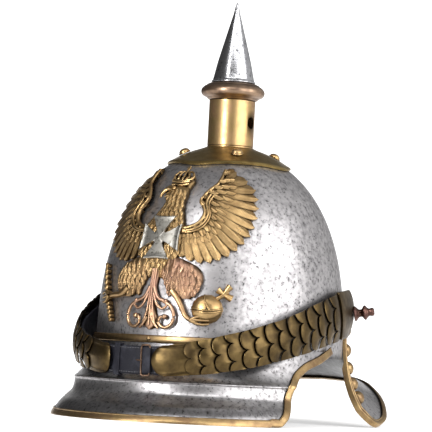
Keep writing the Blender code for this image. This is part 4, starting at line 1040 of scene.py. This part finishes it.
def make_strap_side(name, side):
    """Separate brass scales, each lapping over the next towards the front, with their caps and knob."""
    path = StrapPath(side)
    places = [mix(-1, 1, k / 32) for k in range(33)]

    def cover(shell, rows, start, stop, raised, floor):
        """Add a sheet over the strap between two edges; rows hold share, height and worn value."""
        top = []
        under = []
        for share, height, _ in rows:
            spots = [(mix(start(across), stop(across), share), across) for across in places]
            lifts = [raised(share, height, across) for across in places]
            top.append([path.domed(*spot, lift) for spot, lift in zip(spots, lifts)])
            under.append([path.domed(*spot, floor(lift)) for spot, lift in zip(spots, lifts)])
        shell.solid(top, under, [row[2] for row in rows])

    def scale_lift(share, height, across):
        swell = SCALE_SWELL * lobe(across, number % 2) * sin(pi * min(share * 1.1, 1.0))
        return mix(SCALE_LOW * 0.6, SCALE_HIGH, height) + swell

    def cap_lift(share, height, across):
        return SCALE_HIGH * height + CAP_RIDGE * max(0.0, 1 - abs(abs(across) - 0.82) / 0.1)

    shell = Shell()
    for number in range(1, SCALES):
        cover(
            shell, SCALE_ROWS, lambda across: scale_edge(number - 1, across) - SCALE_TUCK,
            lambda across: scale_edge(number, across), scale_lift,
            lambda lift: max(lift - SCALE_BRASS, SCALE_FLOOR),
        )
    cover(
        shell, CAP_ROWS, lambda across: scale_edge(SCALES - 1, across) - SCALE_TUCK,
        lambda across: scales_end() - rounded(across, CAP_ROUND), cap_lift, lambda lift: SCALE_FLOOR,
    )
    piece(f"scales_{name}", shell, SCALE_LOOK, [f"chin_scales_{name}"], sharp=35)
    boss = Shell()
    cover(
        boss, BOSS_ROWS, lambda across: rounded(across, BOSS_ROUND) - BOSS_REAR, boss_edge,
        lambda share, height, across: SCALE_HIGH * height, lambda lift: 0.0,
    )
    piece(f"boss_{name}", boss, SCALE_LOOK, [f"boss_plate_{name}"], sharp=35)
    turn = radians(KNOB_TURN) * side
    outward = Vector((sin(turn) * SKULL_HALF_LENGTH, -cos(turn) * SKULL_HALF_WIDTH, 0)).normalized()
    axis = outward * cos(KNOB_RISE) + Vector((0, 0, sin(KNOB_RISE)))
    seat = path.domed(0, 0, SCALE_HIGH) + outward * KNOB_SEAT * 0.4
    knob = Shell()
    profile = [(KNOB_RADIUS * r, KNOB_LENGTH * h) for r, h, _ in KNOB_PROFILE]
    knob.turned(profile, standing(seat, axis), 40, [row[2] for row in KNOB_PROFILE])
    piece(f"knob_{name}", knob, KNOB_COPPER, [f"strap_knob_{name}"], sharp=50)


def stitch(shell, start, end, out):
    """One short raised stitch between two points, standing out along a direction."""
    side = (end - start).cross(out).normalized() * 0.28 * MM
    rows = []
    for share, lift in ((0.0, -0.1), (0.2, 0.3), (0.8, 0.3), (1.0, -0.1)):
        middle = start.lerp(end, share) + out * lift * MM
        rows.append([middle - side, middle + out * 0.18 * MM, middle + side])
    shell.grid(rows)


def make_leather(name, side, end_distance):
    """One side's leather with rounded edges and a stitched border where no scales cover it."""
    path = StrapPath(side)
    half = LEATHER_WIDTH / 2
    steps = 110
    top = []
    under = []
    for k in range(steps + 1):
        distance = mix(-LEATHER_BEFORE, end_distance, k / steps)
        top.append([path.place(distance, half * a, -GAP + up * LEATHER * 0.5) for a, up in LEATHER_OUTLINE])
        under.append([path.place(distance, half * a, -GAP - LEATHER) for a, up in LEATHER_OUTLINE])
    shell = Shell()
    shell.solid(top, under)
    piece(f"leather_{name}", shell, STRAP_LEATHER, [f"strap_leather_{name}"])
    seams = Shell()
    for edge in (-half * STITCH_PLACE, half * STITCH_PLACE):
        distance = scales_end() - 4 * MM
        while distance < end_distance - STITCH_PITCH:
            start = path.place(distance, edge, -GAP)
            end = path.place(distance + STITCH_PITCH * 0.72, edge, -GAP)
            out = (path.place(distance, 0, 1 * MM) - path.place(distance, 0, 0)).normalized()
            stitch(seams, start, end, out)
            distance += STITCH_PITCH
    if seams.points:
        piece(f"stitches_{name}", seams, STRAP_THREAD)


def add_rod(shell, points, radius, segments=10, worn=1.0, copper=0.0, closed=False):
    """Add a round rod through points in space; radius may be one number or one for each point."""
    rows = []
    count = len(points)
    for index, point in enumerate(points):
        after = points[(index + 1) % count] if closed else points[min(index + 1, count - 1)]
        before = points[index - 1] if closed or index else points[0]
        ahead = (after - before).normalized()
        side = ahead.cross(Vector((0.05, 0.1, 1))).normalized()
        upward = side.cross(ahead)
        size = picked(radius, index)
        rows.append([point + (side * cos(turn) + upward * sin(turn)) * size for turn in turns(segments)])
    if closed:
        shell.ring(rows, worn)
    else:
        shell.tube(rows, worn, copper)


def make_buckle():
    """The buckle's rounded wire frame and prong, and its leather tab."""
    path = StrapPath(1)
    bar = scales_end() + BUCKLE_CLEAR + BUCKLE_LENGTH
    far_bar = bar - BUCKLE_LENGTH
    wire = BUCKLE_WIRE / 2
    side = LEATHER_WIDTH / 2 + wire
    corners = ((bar, side), (bar, -side), (far_bar, -side), (far_bar, side))
    loop = []
    for index, corner in enumerate(corners):
        before = corners[index - 1]
        after = corners[(index + 1) % 4]
        loop.append(between(corner, before, BUCKLE_CORNER / dist(before, corner)))
        loop.append((mix(corner[0], (before[0] + after[0]) / 2, 0.07), mix(corner[1], 0.0, 0.035)))
        loop.append(between(corner, after, BUCKLE_CORNER / dist(after, corner)))
        loop += [between(corner, after, share) for share in (0.3, 0.5, 0.7)]
    shell = Shell()
    add_rod(shell, [path.place(*spot, GAP + wire) for spot in loop], wire, 12, closed=True)
    prong = []
    for share, out in ((0.0, 1.0), (0.3, 1.35), (0.7, 1.5), (1.0, 1.35)):
        prong.append(path.place(mix(far_bar, bar + PRONG_REACH, share), 0, GAP + out * BUCKLE_WIRE))
    add_rod(shell, prong, [0.8 * MM, 0.8 * MM, 0.7 * MM, 0.4 * MM], 10)
    piece("buckle_wire", shell, BUCKLE_COPPER, ["buckle_frame"], sharp=60)
    floor = GAP + 2.1 * BUCKLE_WIRE
    top = []
    under = []
    for share in [k / 8 for k in range(9)]:
        distance = mix(bar - 2.2 * MM, far_bar - BUCKLE_WIRE, share)
        crest = floor + 0.8 * MM + 0.5 * MM * sin(pi * share)
        row = []
        for across in TAB_PLACES:
            edge = 0.4 * MM * max(0.0, (abs(across) - 0.8) / 0.2) ** 2
            row.append(path.place(distance, across * TAB_WIDTH / 2, crest - edge))
        top.append(row)
        under.append([path.place(distance, across * TAB_WIDTH / 2, floor) for across in TAB_PLACES])
    tab = Shell()
    tab.solid(top, under)
    piece("buckle_strap", tab, STRAP_LEATHER, ["buckle_tab"])


def make_keeper():
    """The narrow leather loop around the strap, as far from the front as the other side's scales end."""
    path = StrapPath(1)
    middle = 2 * path.length_at(0) - scales_end() - KEEPER_CLEAR - KEEPER_LENGTH / 2
    start = middle - KEEPER_LENGTH / 2
    end = middle + KEEPER_LENGTH / 2
    side = LEATHER_WIDTH / 2 + GAP
    back = -(LEATHER + 2 * GAP)
    rows = []
    for across, out in ((-1, 0.0), (0, 0.0), (1, 0.0), (1, back), (0, back), (-1, back)):
        inner = (across * side, out)
        outer = (across * (side + KEEPER_LEATHER), out - KEEPER_LEATHER if out else KEEPER_LEATHER)
        spots = ((start, inner), (end, inner), (end, outer), (middle, outer), (start, outer))
        rows.append([path.place(distance, *spot) for distance, spot in spots])
    keeper = Shell()
    keeper.ring(rows)
    piece("keeper_loop", keeper, STRAP_LEATHER, ["strap_keeper"], bevel=0.35 * MM)


# Eagle, in flat places: across from the middle line and height in millimetres, lift off the skull


def on_eagle(across, up):
    """A flat place in millimetres from shares of the eagle's half span and height."""
    return Vector((across * EAGLE_HALF_SPAN / MM, (EAGLE_FOOT + up * EAGLE_HEIGHT) / MM))


def laid(flat, lift):
    """A flat place of the relief in millimetres, laid on the dome."""
    return skull_point(flat[0] * MM / RELIEF_RADIUS, flat[1] * MM, SEAT_GAP + lift * MM)


def add_feather(shell, root, tip, half, low, high, tilt=0.0, bend=0.0, blunt=0.30, copper=0.0, rows=12):
    """A leaf-shaped feather from root to tip with a raised rib, closed down to the skull at its border."""
    columns = 8
    length = (tip - root).length
    axis = (tip - root) / length
    side = Vector((-axis.y, axis.x))
    points = []
    worn = []
    barbs = []
    for i in range(rows + 2):
        u = min(i / rows, 1.0)
        width = 0.72 + 0.28 * sin(pi * min(u * 1.1, 1.0))
        if u > 1 - blunt:
            width *= sqrt(max(1 - ((u - 1 + blunt) / blunt) ** 2, 0.0004))
        centre = root + axis * length * u + side * bend * sin(pi * u)
        places = [min(max((j - 1) / columns * 2 - 1, -1.0), 1.0) for j in range(columns + 3)]
        row = []
        tones = []
        for j, v in enumerate(places):
            skirt = j in (0, columns + 2) or i == rows + 1
            rib = 0.42 * max(0.0, 1 - abs(v) * 4.5)
            lift = mix(low, high, u) + tilt * v + 0.35 * (1 - v * v) + rib
            row.append(laid(centre + side * half * width * v, 0.0 if skirt else lift))
            edge = 1 - abs(v) ** 3
            tones.append(0.0 if skirt else min(1.0, (0.15 + 0.85 * edge) * (0.35 + 0.9 * u) + 0.5 * rib))
        points.append(row)
        worn.append(tones)
        barbs.append([(u * length, half * width * v) for v in places])
    shell.grid(points, worn, copper, barbs)


def wing_place(share, reach, mirror):
    """A flat place on a wing, by the share along it and the reach from its inner line to its tips."""
    w = along(WING, share)
    place = on_eagle(w[0], w[1]).lerp(on_eagle(w[4], w[5]), reach)
    return Vector((place.x * mirror, place.y))


def add_wing(shell, mirror):
    """A wing: backing plate, long feathers, three rows of coverts, rounded arcs and the shoulder's curl."""
    rows = []
    for share, lift in ((0.0, 2.2), (0.25, 2.6), (0.5, 2.4), (0.75, 1.7), (0.9, 1.0), (0.97, 0.6)):
        row = []
        for k in range(49):
            w = along(WING, k / 48)
            place = Vector((w[0], w[1])).lerp(Vector((w[4], w[5])), share * 0.94)
            row.append(laid(on_eagle(mirror * place.x, place.y), lift))
        rows.append(row)
    shell.grid(rows, 0.05)
    count = 16
    for k in range(count):
        share = (k + 0.4) / count
        w = along(WING, share)
        root = on_eagle(mix(w[2], w[0], 0.25), mix(w[3], w[1], 0.25))
        root.x *= mirror
        tip = wing_place(share, 1.0, mirror)
        step = wing_place(min(share + 1 / count, 1.0), 1.0, mirror) - tip
        half = min(max(step.length * 0.62, 3.0), 4.6)
        add_feather(shell, root, tip, half, 3.0, 1.5, -0.55 * mirror, 0.8 * mirror, 0.22)
    for number, low, high, reach_low, reach_high, half in COVERTS:
        for k in range(number):
            share = (k + 0.5) / number
            start, end = (wing_place(share, reach, mirror) for reach in (reach_low, reach_high))
            add_feather(shell, start, end, half, low, high, -0.35 * mirror, 0.3 * mirror, 0.4, rows=7)
    for reach, radius in ((0.10, 0.95), (0.155, 0.6)):
        arc = [laid(wing_place(mix(0.02, 0.66, k / 39), reach, mirror), 5.2) for k in range(40)]
        add_rod(shell, arc, radius * MM, 8, 0.9)
    shares = [k / 43 for k in range(44)]
    edge = [laid(wing_place(share, 0.0, mirror), 3.6) for share in shares]
    add_rod(shell, edge, [mix(1.9, 1.2, share) * MM for share in shares], 10, 0.85)
    shares = [k / 25 for k in range(26)]
    curl = []
    for k, share in enumerate(shares):
        turn = 2.1 * pi * k / 25
        size = mix(4.2, 1.0, share)
        place = CURL_CENTRE + Vector((cos(turn - 0.6) * size, -sin(turn - 0.6) * size))
        curl.append(laid((place.x * mirror, place.y), mix(3.6, 5.4, share)))
    add_rod(shell, curl, [mix(1.5, 1.0, share) * MM for share in shares], 10, 0.9)


def crowned(across):
    """The height of a domed form at a share of its half width, as a share of its middle's."""
    return 0.22 + 0.78 * sqrt(max(1 - across * across, 0))


def add_domed(shell, table, mirror=1, copper=0.0, worn=0.8, samples=5):
    """A domed form through rows of height, middle, half width and depth, closed down to the skull."""
    steps = (len(table) - 1) * samples
    places = [-1.0] + [mix(-1, 1, k / 14) for k in range(15)] + [1.0]
    rows = []
    for i in range(steps + 1):
        up, middle, half, depth = along(table, i / steps)
        lifts = [EAGLE_DEPTH / MM * depth * crowned(across) for across in places]
        lifts = [0.0] + lifts[1:-1] + [0.0]
        flats = [on_eagle(mirror * (middle + half * across), up) for across in places]
        rows.append([laid(flat, lift) for flat, lift in zip(flats, lifts)])
    tones = [worn * max(0.0, 1 - abs(across) ** 3) for across in places]
    shell.grid(rows, [tones] * len(rows), copper)


def table_lift(table, flat, mirror=1):
    """How high a domed form stands at a flat place."""
    up = (flat.y * MM - EAGLE_FOOT) / EAGLE_HEIGHT
    across = flat.x * MM / EAGLE_HALF_SPAN * mirror
    middle, half, depth = (table_value(table, column, up) for column in (1, 2, 3))
    share = min(abs(across - middle) / max(half, 0.001), 1.0)
    return EAGLE_DEPTH / MM * depth * crowned(share)


def add_plumage(shell, table, low, high, pitch, half, length, fan, mirror=1, copper=0.0):
    """Rows of small overlapping feathers over a domed form, pointing down and fanning out."""
    height = high
    row = 0
    while height > low:
        up = (height * MM - EAGLE_FOOT) / EAGLE_HEIGHT
        middle, reach = (table_value(table, column, up) * EAGLE_HALF_SPAN / MM for column in (1, 2))
        number = max(int(2 * reach / (half * 1.7)), 1)
        for k in range(number):
            share = mix(-1, 1, (k + (0.5 if row % 2 else 0.35)) / number)
            root = Vector(((middle + reach * 0.92 * share) * mirror, height))
            tip = root + Vector((fan * share * mirror, -1.0)).normalized() * length
            base = table_lift(table, root, mirror)
            rise = max(table_lift(table, tip, mirror), base - 1.6) + 0.45
            add_feather(shell, root, tip, half, base - 0.15, rise, 0, 0, 0.5, copper, 5)
        height -= pitch
        row += 1


def add_spiral(shell, points, radius, end_radius, lift, copper=0.0, samples=44, bead=0.0):
    """A raised scroll through flat points, thinning to its end, with a bead there if asked."""
    shares = [k / samples for k in range(samples + 1)]
    sizes = [mix(radius, end_radius, share) * MM for share in shares]
    add_rod(shell, [laid(along(points, share), lift) for share in shares], sizes, 10, 0.85, copper)
    if bead:
        add_ball(shell, along(points, 1.0), bead, lift, copper)


def add_ball(shell, flat, radius, lift, copper=0.0, squash=0.8):
    """A domed bead on the relief."""
    rings = [(radius, 0.0, 0.0)]
    for i in range(7):
        angle = pi / 2 * i / 6.2
        rings.append((radius * cos(angle), lift + radius * squash * sin(angle), min(1.0, 0.3 + 0.2 * i)))
    rows = []
    for size, rise, _ in rings:
        spots = [(flat.x + size * cos(turn), flat.y + size * sin(turn)) for turn in turns(14)]
        rows.append([laid(spot, rise) for spot in spots])
    shell.grid(rows, [ring[2] for ring in rings], copper, closed_columns=True)


def points_of(*pairs, mirror=1):
    return [Vector((x * mirror, y)) for x, y in pairs]


def add_head(shell):
    """The head with its hooked beak and eye, and the crown with its arches and small cross."""
    beak = points_of((-1.0, 167.6), (-5.0, 168.2), (-9.2, 167.0), (-12.2, 163.8), (-12.0, 161.4))
    add_spiral(shell, beak, 3.0, 0.7, 4.8)
    add_spiral(shell, points_of((-1.0, 163.8), (-5.0, 163.2), (-8.4, 162.2)), 1.7, 0.7, 4.3)
    add_ball(shell, Vector((-0.5, 167.6)), 1.3, 6.3)
    add_spiral(shell, points_of((-5.0, 169.8), (-1.0, 170.4), (3.5, 169.4)), 0.8, 0.6, 5.9)
    add_domed(shell, CROWN_ROWS, worn=0.25)
    for level, half, rise in ((171.4, 8.8, 5.4), (173.0, 9.2, 5.9), (174.4, 9.6, 5.6)):
        rim = [(3 + half * across, level - drop) for across, drop in CROWN_RIM]
        add_spiral(shell, points_of(*rim), 0.9, 0.9, rise, samples=20)
    for foot in (-6.0, -1.6, 3.0, 7.6, 12.0):
        lean = foot - 3
        arch = points_of((foot, 174.6), (3 + lean * 1.18, 177.4), (3 + lean * 0.8, 180.2), (3, 180.6))
        add_spiral(shell, arch, 0.95, 0.8, 5.0, samples=16)
        add_ball(shell, Vector((foot, 175.2)), 1.3, 5.4)
        add_ball(shell, Vector((3 + lean * 1.1, 178.2)), 1.0, 5.2)
    add_ball(shell, Vector((3.0, 181.2)), 1.5, 4.6)
    for ends in (((3.0, 181.4), (3.0, 185.2)), ((1.0, 183.7), (5.0, 183.7))):
        add_spiral(shell, points_of(*ends), 0.8, 0.8, 4.4, samples=4)


def add_foot(shell, ankle, grip, spread, copper=0.0):
    """Three curved toes from an ankle over what they grip, with small claws."""
    reach = grip - ankle
    for turn in (-spread, 0.0, spread):
        side = Vector((-reach.y, reach.x)) * turn
        toe = [ankle, ankle + reach * 0.45 + side * 0.8, ankle + reach * 0.85 + side]
        toe.append(grip + reach * 0.25 + side * 0.8)
        add_spiral(shell, toe, 1.5, 0.7, 5.4, copper, samples=14)


def make_eagle():
    shell = Shell()
    add_wing(shell, 1)
    add_wing(shell, -1)
    add_domed(shell, BODY_ROWS, worn=0.5)
    add_plumage(shell, BODY_ROWS, 142, 167, 3.0, 2.0, 4.4, 0.4)
    add_plumage(shell, BODY_ROWS, 108, 122, 3.4, 2.4, 5.2, 0.5)
    add_plumage(shell, BODY_ROWS, 121, 143, 3.6, 2.4, 5.2, 0.5)
    for mirror, copper in ((1, 0.9), (-1, 0.15)):
        add_domed(shell, THIGH_ROWS, mirror, copper, 0.4)
        add_plumage(shell, THIGH_ROWS, 94, 117, 3.4, 2.3, 6.2, 0.22, mirror, copper)
    add_head(shell)
    add_domed(shell, TAIL_ROWS, 1, 1.0)
    for side in (-1, 0, 1):
        quill = points_of((side * 1.2, 110), (side * 1.4, 92), (side * 2.2, 80), (side * 5.0, 69))
        add_spiral(shell, quill, 0.9, 1.1, 3.2, 1.0)
    for mirror in (1, -1):
        scroll = points_of((1.5, 97), (5.0, 89.5), (10.5, 86.5), (15.6, 83.0), (18.2, 76.5), (16.6, 70.0),
                           (11.8, 67.6), (7.8, 70.6), (8.4, 74.8), (11.4, 75.6), mirror=mirror)
        add_spiral(shell, scroll, 1.5, 1.2, 3.4, 0.9, 60, 1.9)
        inner = points_of((2.0, 92.0), (5.5, 84.0), (9.4, 81.2), (12.6, 83.4), (11.6, 86.8), mirror=mirror)
        add_spiral(shell, inner, 1.2, 0.9, 3.9, 0.9, 30, 1.5)
        leafy = points_of((1.5, 75.0), (4.6, 70.0), (7.4, 67.0), mirror=mirror)
        add_spiral(shell, leafy, 1.7, 1.0, 2.9, 0.9, 16)
    left_leg = points_of((15.0, 94.5), (19.5, 89.0), (23.0, 83.0), (26.0, 77.0), (30.5, 73.6))
    add_spiral(shell, left_leg, 2.3, 1.7, 3.4, 0.4, 24)
    right_leg = points_of((-21.0, 96.0), (-26.0, 91.0), (-33.0, 90.0), (-40.0, 89.0))
    add_spiral(shell, right_leg, 2.6, 2.0, 3.6, 0.1, 24)
    add_foot(shell, Vector((30.0, 73.8)), Vector((40.0, 74.0)), 0.30, 0.2)
    add_foot(shell, Vector((-40.0, 89.0)), Vector((-46.0, 87.5)), 0.6)
    make_orb(shell)
    sceptre = points_of((-37.6, 70.4), (-42.6, 82.0), (-49.6, 97.0), (-56.6, 113.0))
    add_spiral(shell, sceptre, 0.9, 1.2, 3.2)
    for k in range(12):
        share = k / 11
        place = along(sceptre, mix(0.04, 0.97, share))
        add_ball(shell, place, mix(1.3, 2.3, sin(pi * min(share * 0.75 + 0.1, 1.0))), 3.1, squash=0.7)
    piece("eagle_relief", shell, EAGLE_BRASS, ["eagle"], sharp=50)


def make_orb(shell):
    """The orb with its raised hoops and arch, and the small cross on it."""
    centre = on_eagle(0.53, 0.135)
    add_ball(shell, centre, 10.9, 1.6, squash=0.62)
    for level, bow in ((-0.8, -2.2), (1.0, -2.4)):
        hoop = []
        for k in range(25):
            share = mix(-1, 1, k / 24)
            flat = centre + Vector((10.4 * share, level + bow * (1 - share * share)))
            hoop.append(laid(flat, 1.8 + 6.6 * sqrt(max(1 - share * share * 0.97, 0.0))))
        add_rod(shell, hoop, 0.62 * MM, 8, 0.9)
    arch = []
    for share in [k / 20 for k in range(21)]:
        flat = centre + Vector((-4.2 * sin(pi * share * 0.5) + 2.0, -1.2 + 11.0 * share))
        arch.append(laid(flat, 1.8 + 6.6 * sqrt(max(1 - (share * 0.96) ** 2, 0.0))))
    add_rod(shell, arch, 0.8 * MM, 8, 0.9)
    add_spiral(shell, points_of((45.2, 89.6), (48.6, 91.6), (53.4, 95.4)), 1.7, 1.7, 3.2, samples=10)
    for end in ((46.6, 96.6), (54.6, 99.4), (56.2, 90.6)):
        add_spiral(shell, points_of((50.4, 93.6), end), 1.2, 2.9, 3.4, samples=6)


def make_cross():
    """The plain steel cross: a curved plate with a raised rim and widening arms."""
    centre = on_eagle(0.02, 0.535)
    outline = []
    for angle in [quarter * pi / 2 for quarter in range(4)]:
        for sideways in [mix(-CROSS_ARM, CROSS_ARM, k / 8) for k in range(9)]:
            outline.append((1.0 - 0.05 * (1 - (sideways / CROSS_ARM) ** 2), sideways, angle))
        for share in [k / 8 for k in range(1, 8)]:
            inward = 0.60 * sin(pi * share)
            outward = mix(1.0, CROSS_ARM, share) - inward
            outline.append((outward, mix(CROSS_ARM, 1.0, share) - inward, angle))
    steps = [(1.0, 0.0, 0.2), (1.0, 1.1, 0.6), (0.975, 1.4, 1.0), (0.93, 1.4, 1.0), (0.90, 1.05, 0.35)]
    steps += [(size, 1.05 + 0.35 * (1 - size), 0.9) for size in (0.7, 0.45, 0.2, 0.02)]
    rows = []
    for size, lift, _ in steps:
        row = []
        for outward, sideways, angle in outline:
            px = (outward * cos(angle) - sideways * sin(angle)) * CROSS_HALF * size
            py = (outward * sin(angle) + sideways * cos(angle)) * CROSS_HALF * size
            row.append(laid((centre.x + px, centre.y + py), CROSS_SEAT / MM + lift))
        rows.append(row)
    shell = Shell()
    shell.grid(rows, [step[2] for step in steps], closed_columns=True)
    piece("cross_plate", shell, CROSS_STEEL, ["breast_cross"], sharp=45)


# Studio and camera


def aim(turn, rise, reach):
    """A place at a turn to the right of the camera's side of the object and at a rise, in degrees."""
    level = -DEPTHWISE * cos(radians(turn)) + SIDEWAYS * sin(radians(turn))
    return (level * cos(radians(rise)) + Vector((0, 0, sin(radians(rise))))) * reach


def area_light(name, place, target, size, power):
    lamp = bpy.data.lights.new(name, "AREA")
    lamp.shape = "RECTANGLE"
    lamp.size, lamp.size_y = size
    lamp.energy = power
    made = bpy.data.objects.new(name, lamp)
    made.location = place
    made.rotation_euler = (Vector(target) - place).to_track_quat("-Z", "Y").to_euler()
    bpy.context.collection.objects.link(made)


def make_studio():
    """A pale floor that glows, more behind the object than in front, a pale surround and soft lights."""
    mesh = bpy.data.meshes.new("floor")
    corners = [(x * FLOOR_REACH, y * FLOOR_REACH, 0) for x, y in ((-1, -1), (1, -1), (1, 1), (-1, 1))]
    mesh.from_pydata(corners, [], [(0, 1, 2, 3)])
    floor = bpy.data.objects.new("floor", mesh)
    paper = Finish("glowing_floor", 0.9, 0.0)
    # Painted light: the floor glows, faintly in front of the object and more behind it
    glow = paper.ramp(paper.depth(paper.place, DEPTHWISE), -0.25, 0.30, 0.25, FLOOR_GLOW)
    paper.feed(paper.shader, {"Emission Color": (1, 1, 1, 1), "Emission Strength": glow})
    tone = paper.blend(paper.noise(3, 2), (0.86, 0.86, 0.86), (0.88, 0.88, 0.88))
    mesh.materials.append(paper.done(tone))
    bpy.context.collection.objects.link(floor)
    make_world()
    # name, place, target, size and power
    area_light("strip", aim(-36, 14, 1.9), (0, -0.05, 0.12), (0.20, 1.5), 34)
    area_light("key", aim(52, 18, 2.2), (0, 0, 0.14), (2.2, 2.2), 50)
    area_light("brow", aim(-14, 48, 2.0), (0, 0, 0.08), (1.8, 0.30), 12)
    area_light("top", Vector((0.5, 0.3, 2.1)), (0, 0, 0.2), (1.0, 1.0), 2)


def make_world():
    """A white backdrop behind the object, a pale ceiling and a grey room on the other sides."""
    world = bpy.data.worlds.new("studio")
    bpy.context.scene.world = world
    bpy.context.scene.view_settings.view_transform = "Standard"
    world.use_nodes = True
    sky = Nodes(world.node_tree)
    place = sky.add("ShaderNodeTexCoord")["Generated"]
    shade = 0.0
    for axis, low, high, bright in (
        (DEPTHWISE, 0.93, 0.985, BACKDROP),
        (Vector((0, 0, 1)), 0.30, 0.90, CEILING),
        (SIDEWAYS, 0.0, 0.9, SIDE_WALL),
    ):
        band = sky.ramp(sky.depth(place, axis), low, high, 0.0, bright, "SMOOTHSTEP")
        shade = sky.maths("MAXIMUM", shade, band)
    inputs = {"Color": (1.0, 1.0, 1.0, 1), "Strength": sky.plus(shade, ROOM_LIGHT)}
    sky.feed(world.node_tree.nodes["Background"], inputs)


def make_camera():
    data = bpy.data.cameras.new("camera")
    data.sensor_width = VIEW_SENSOR
    data.lens = VIEW_LENS
    data.clip_end = VIEW_CLIP
    made = bpy.data.objects.new("camera", data)
    bpy.context.collection.objects.link(made)
    direction = (VIEW_TARGET - VIEW_PLACE).normalized()
    side = direction.cross(Vector((0, 0, 1))).normalized()
    level = Matrix((side, side.cross(direction), -direction)).transposed()
    turn = level @ Matrix.Rotation(VIEW_ROLL, 3, "Z")
    made.matrix_world = Matrix.Translation(VIEW_PLACE) @ turn.to_4x4()
    bpy.context.scene.camera = made


make_camera()
make_studio()
make_skull()
make_visor()
make_band()
make_guard()
make_spike_fittings()
for strap_name, strap_side in (("left", 1), ("right", -1)):
    make_strap_side(strap_name, strap_side)
    joint = StrapPath(strap_side).length_at(JOINT_TURN * strap_side)
    make_leather(strap_name, strap_side, joint - GAP)
make_buckle()
make_keeper()
make_eagle()
make_cross()
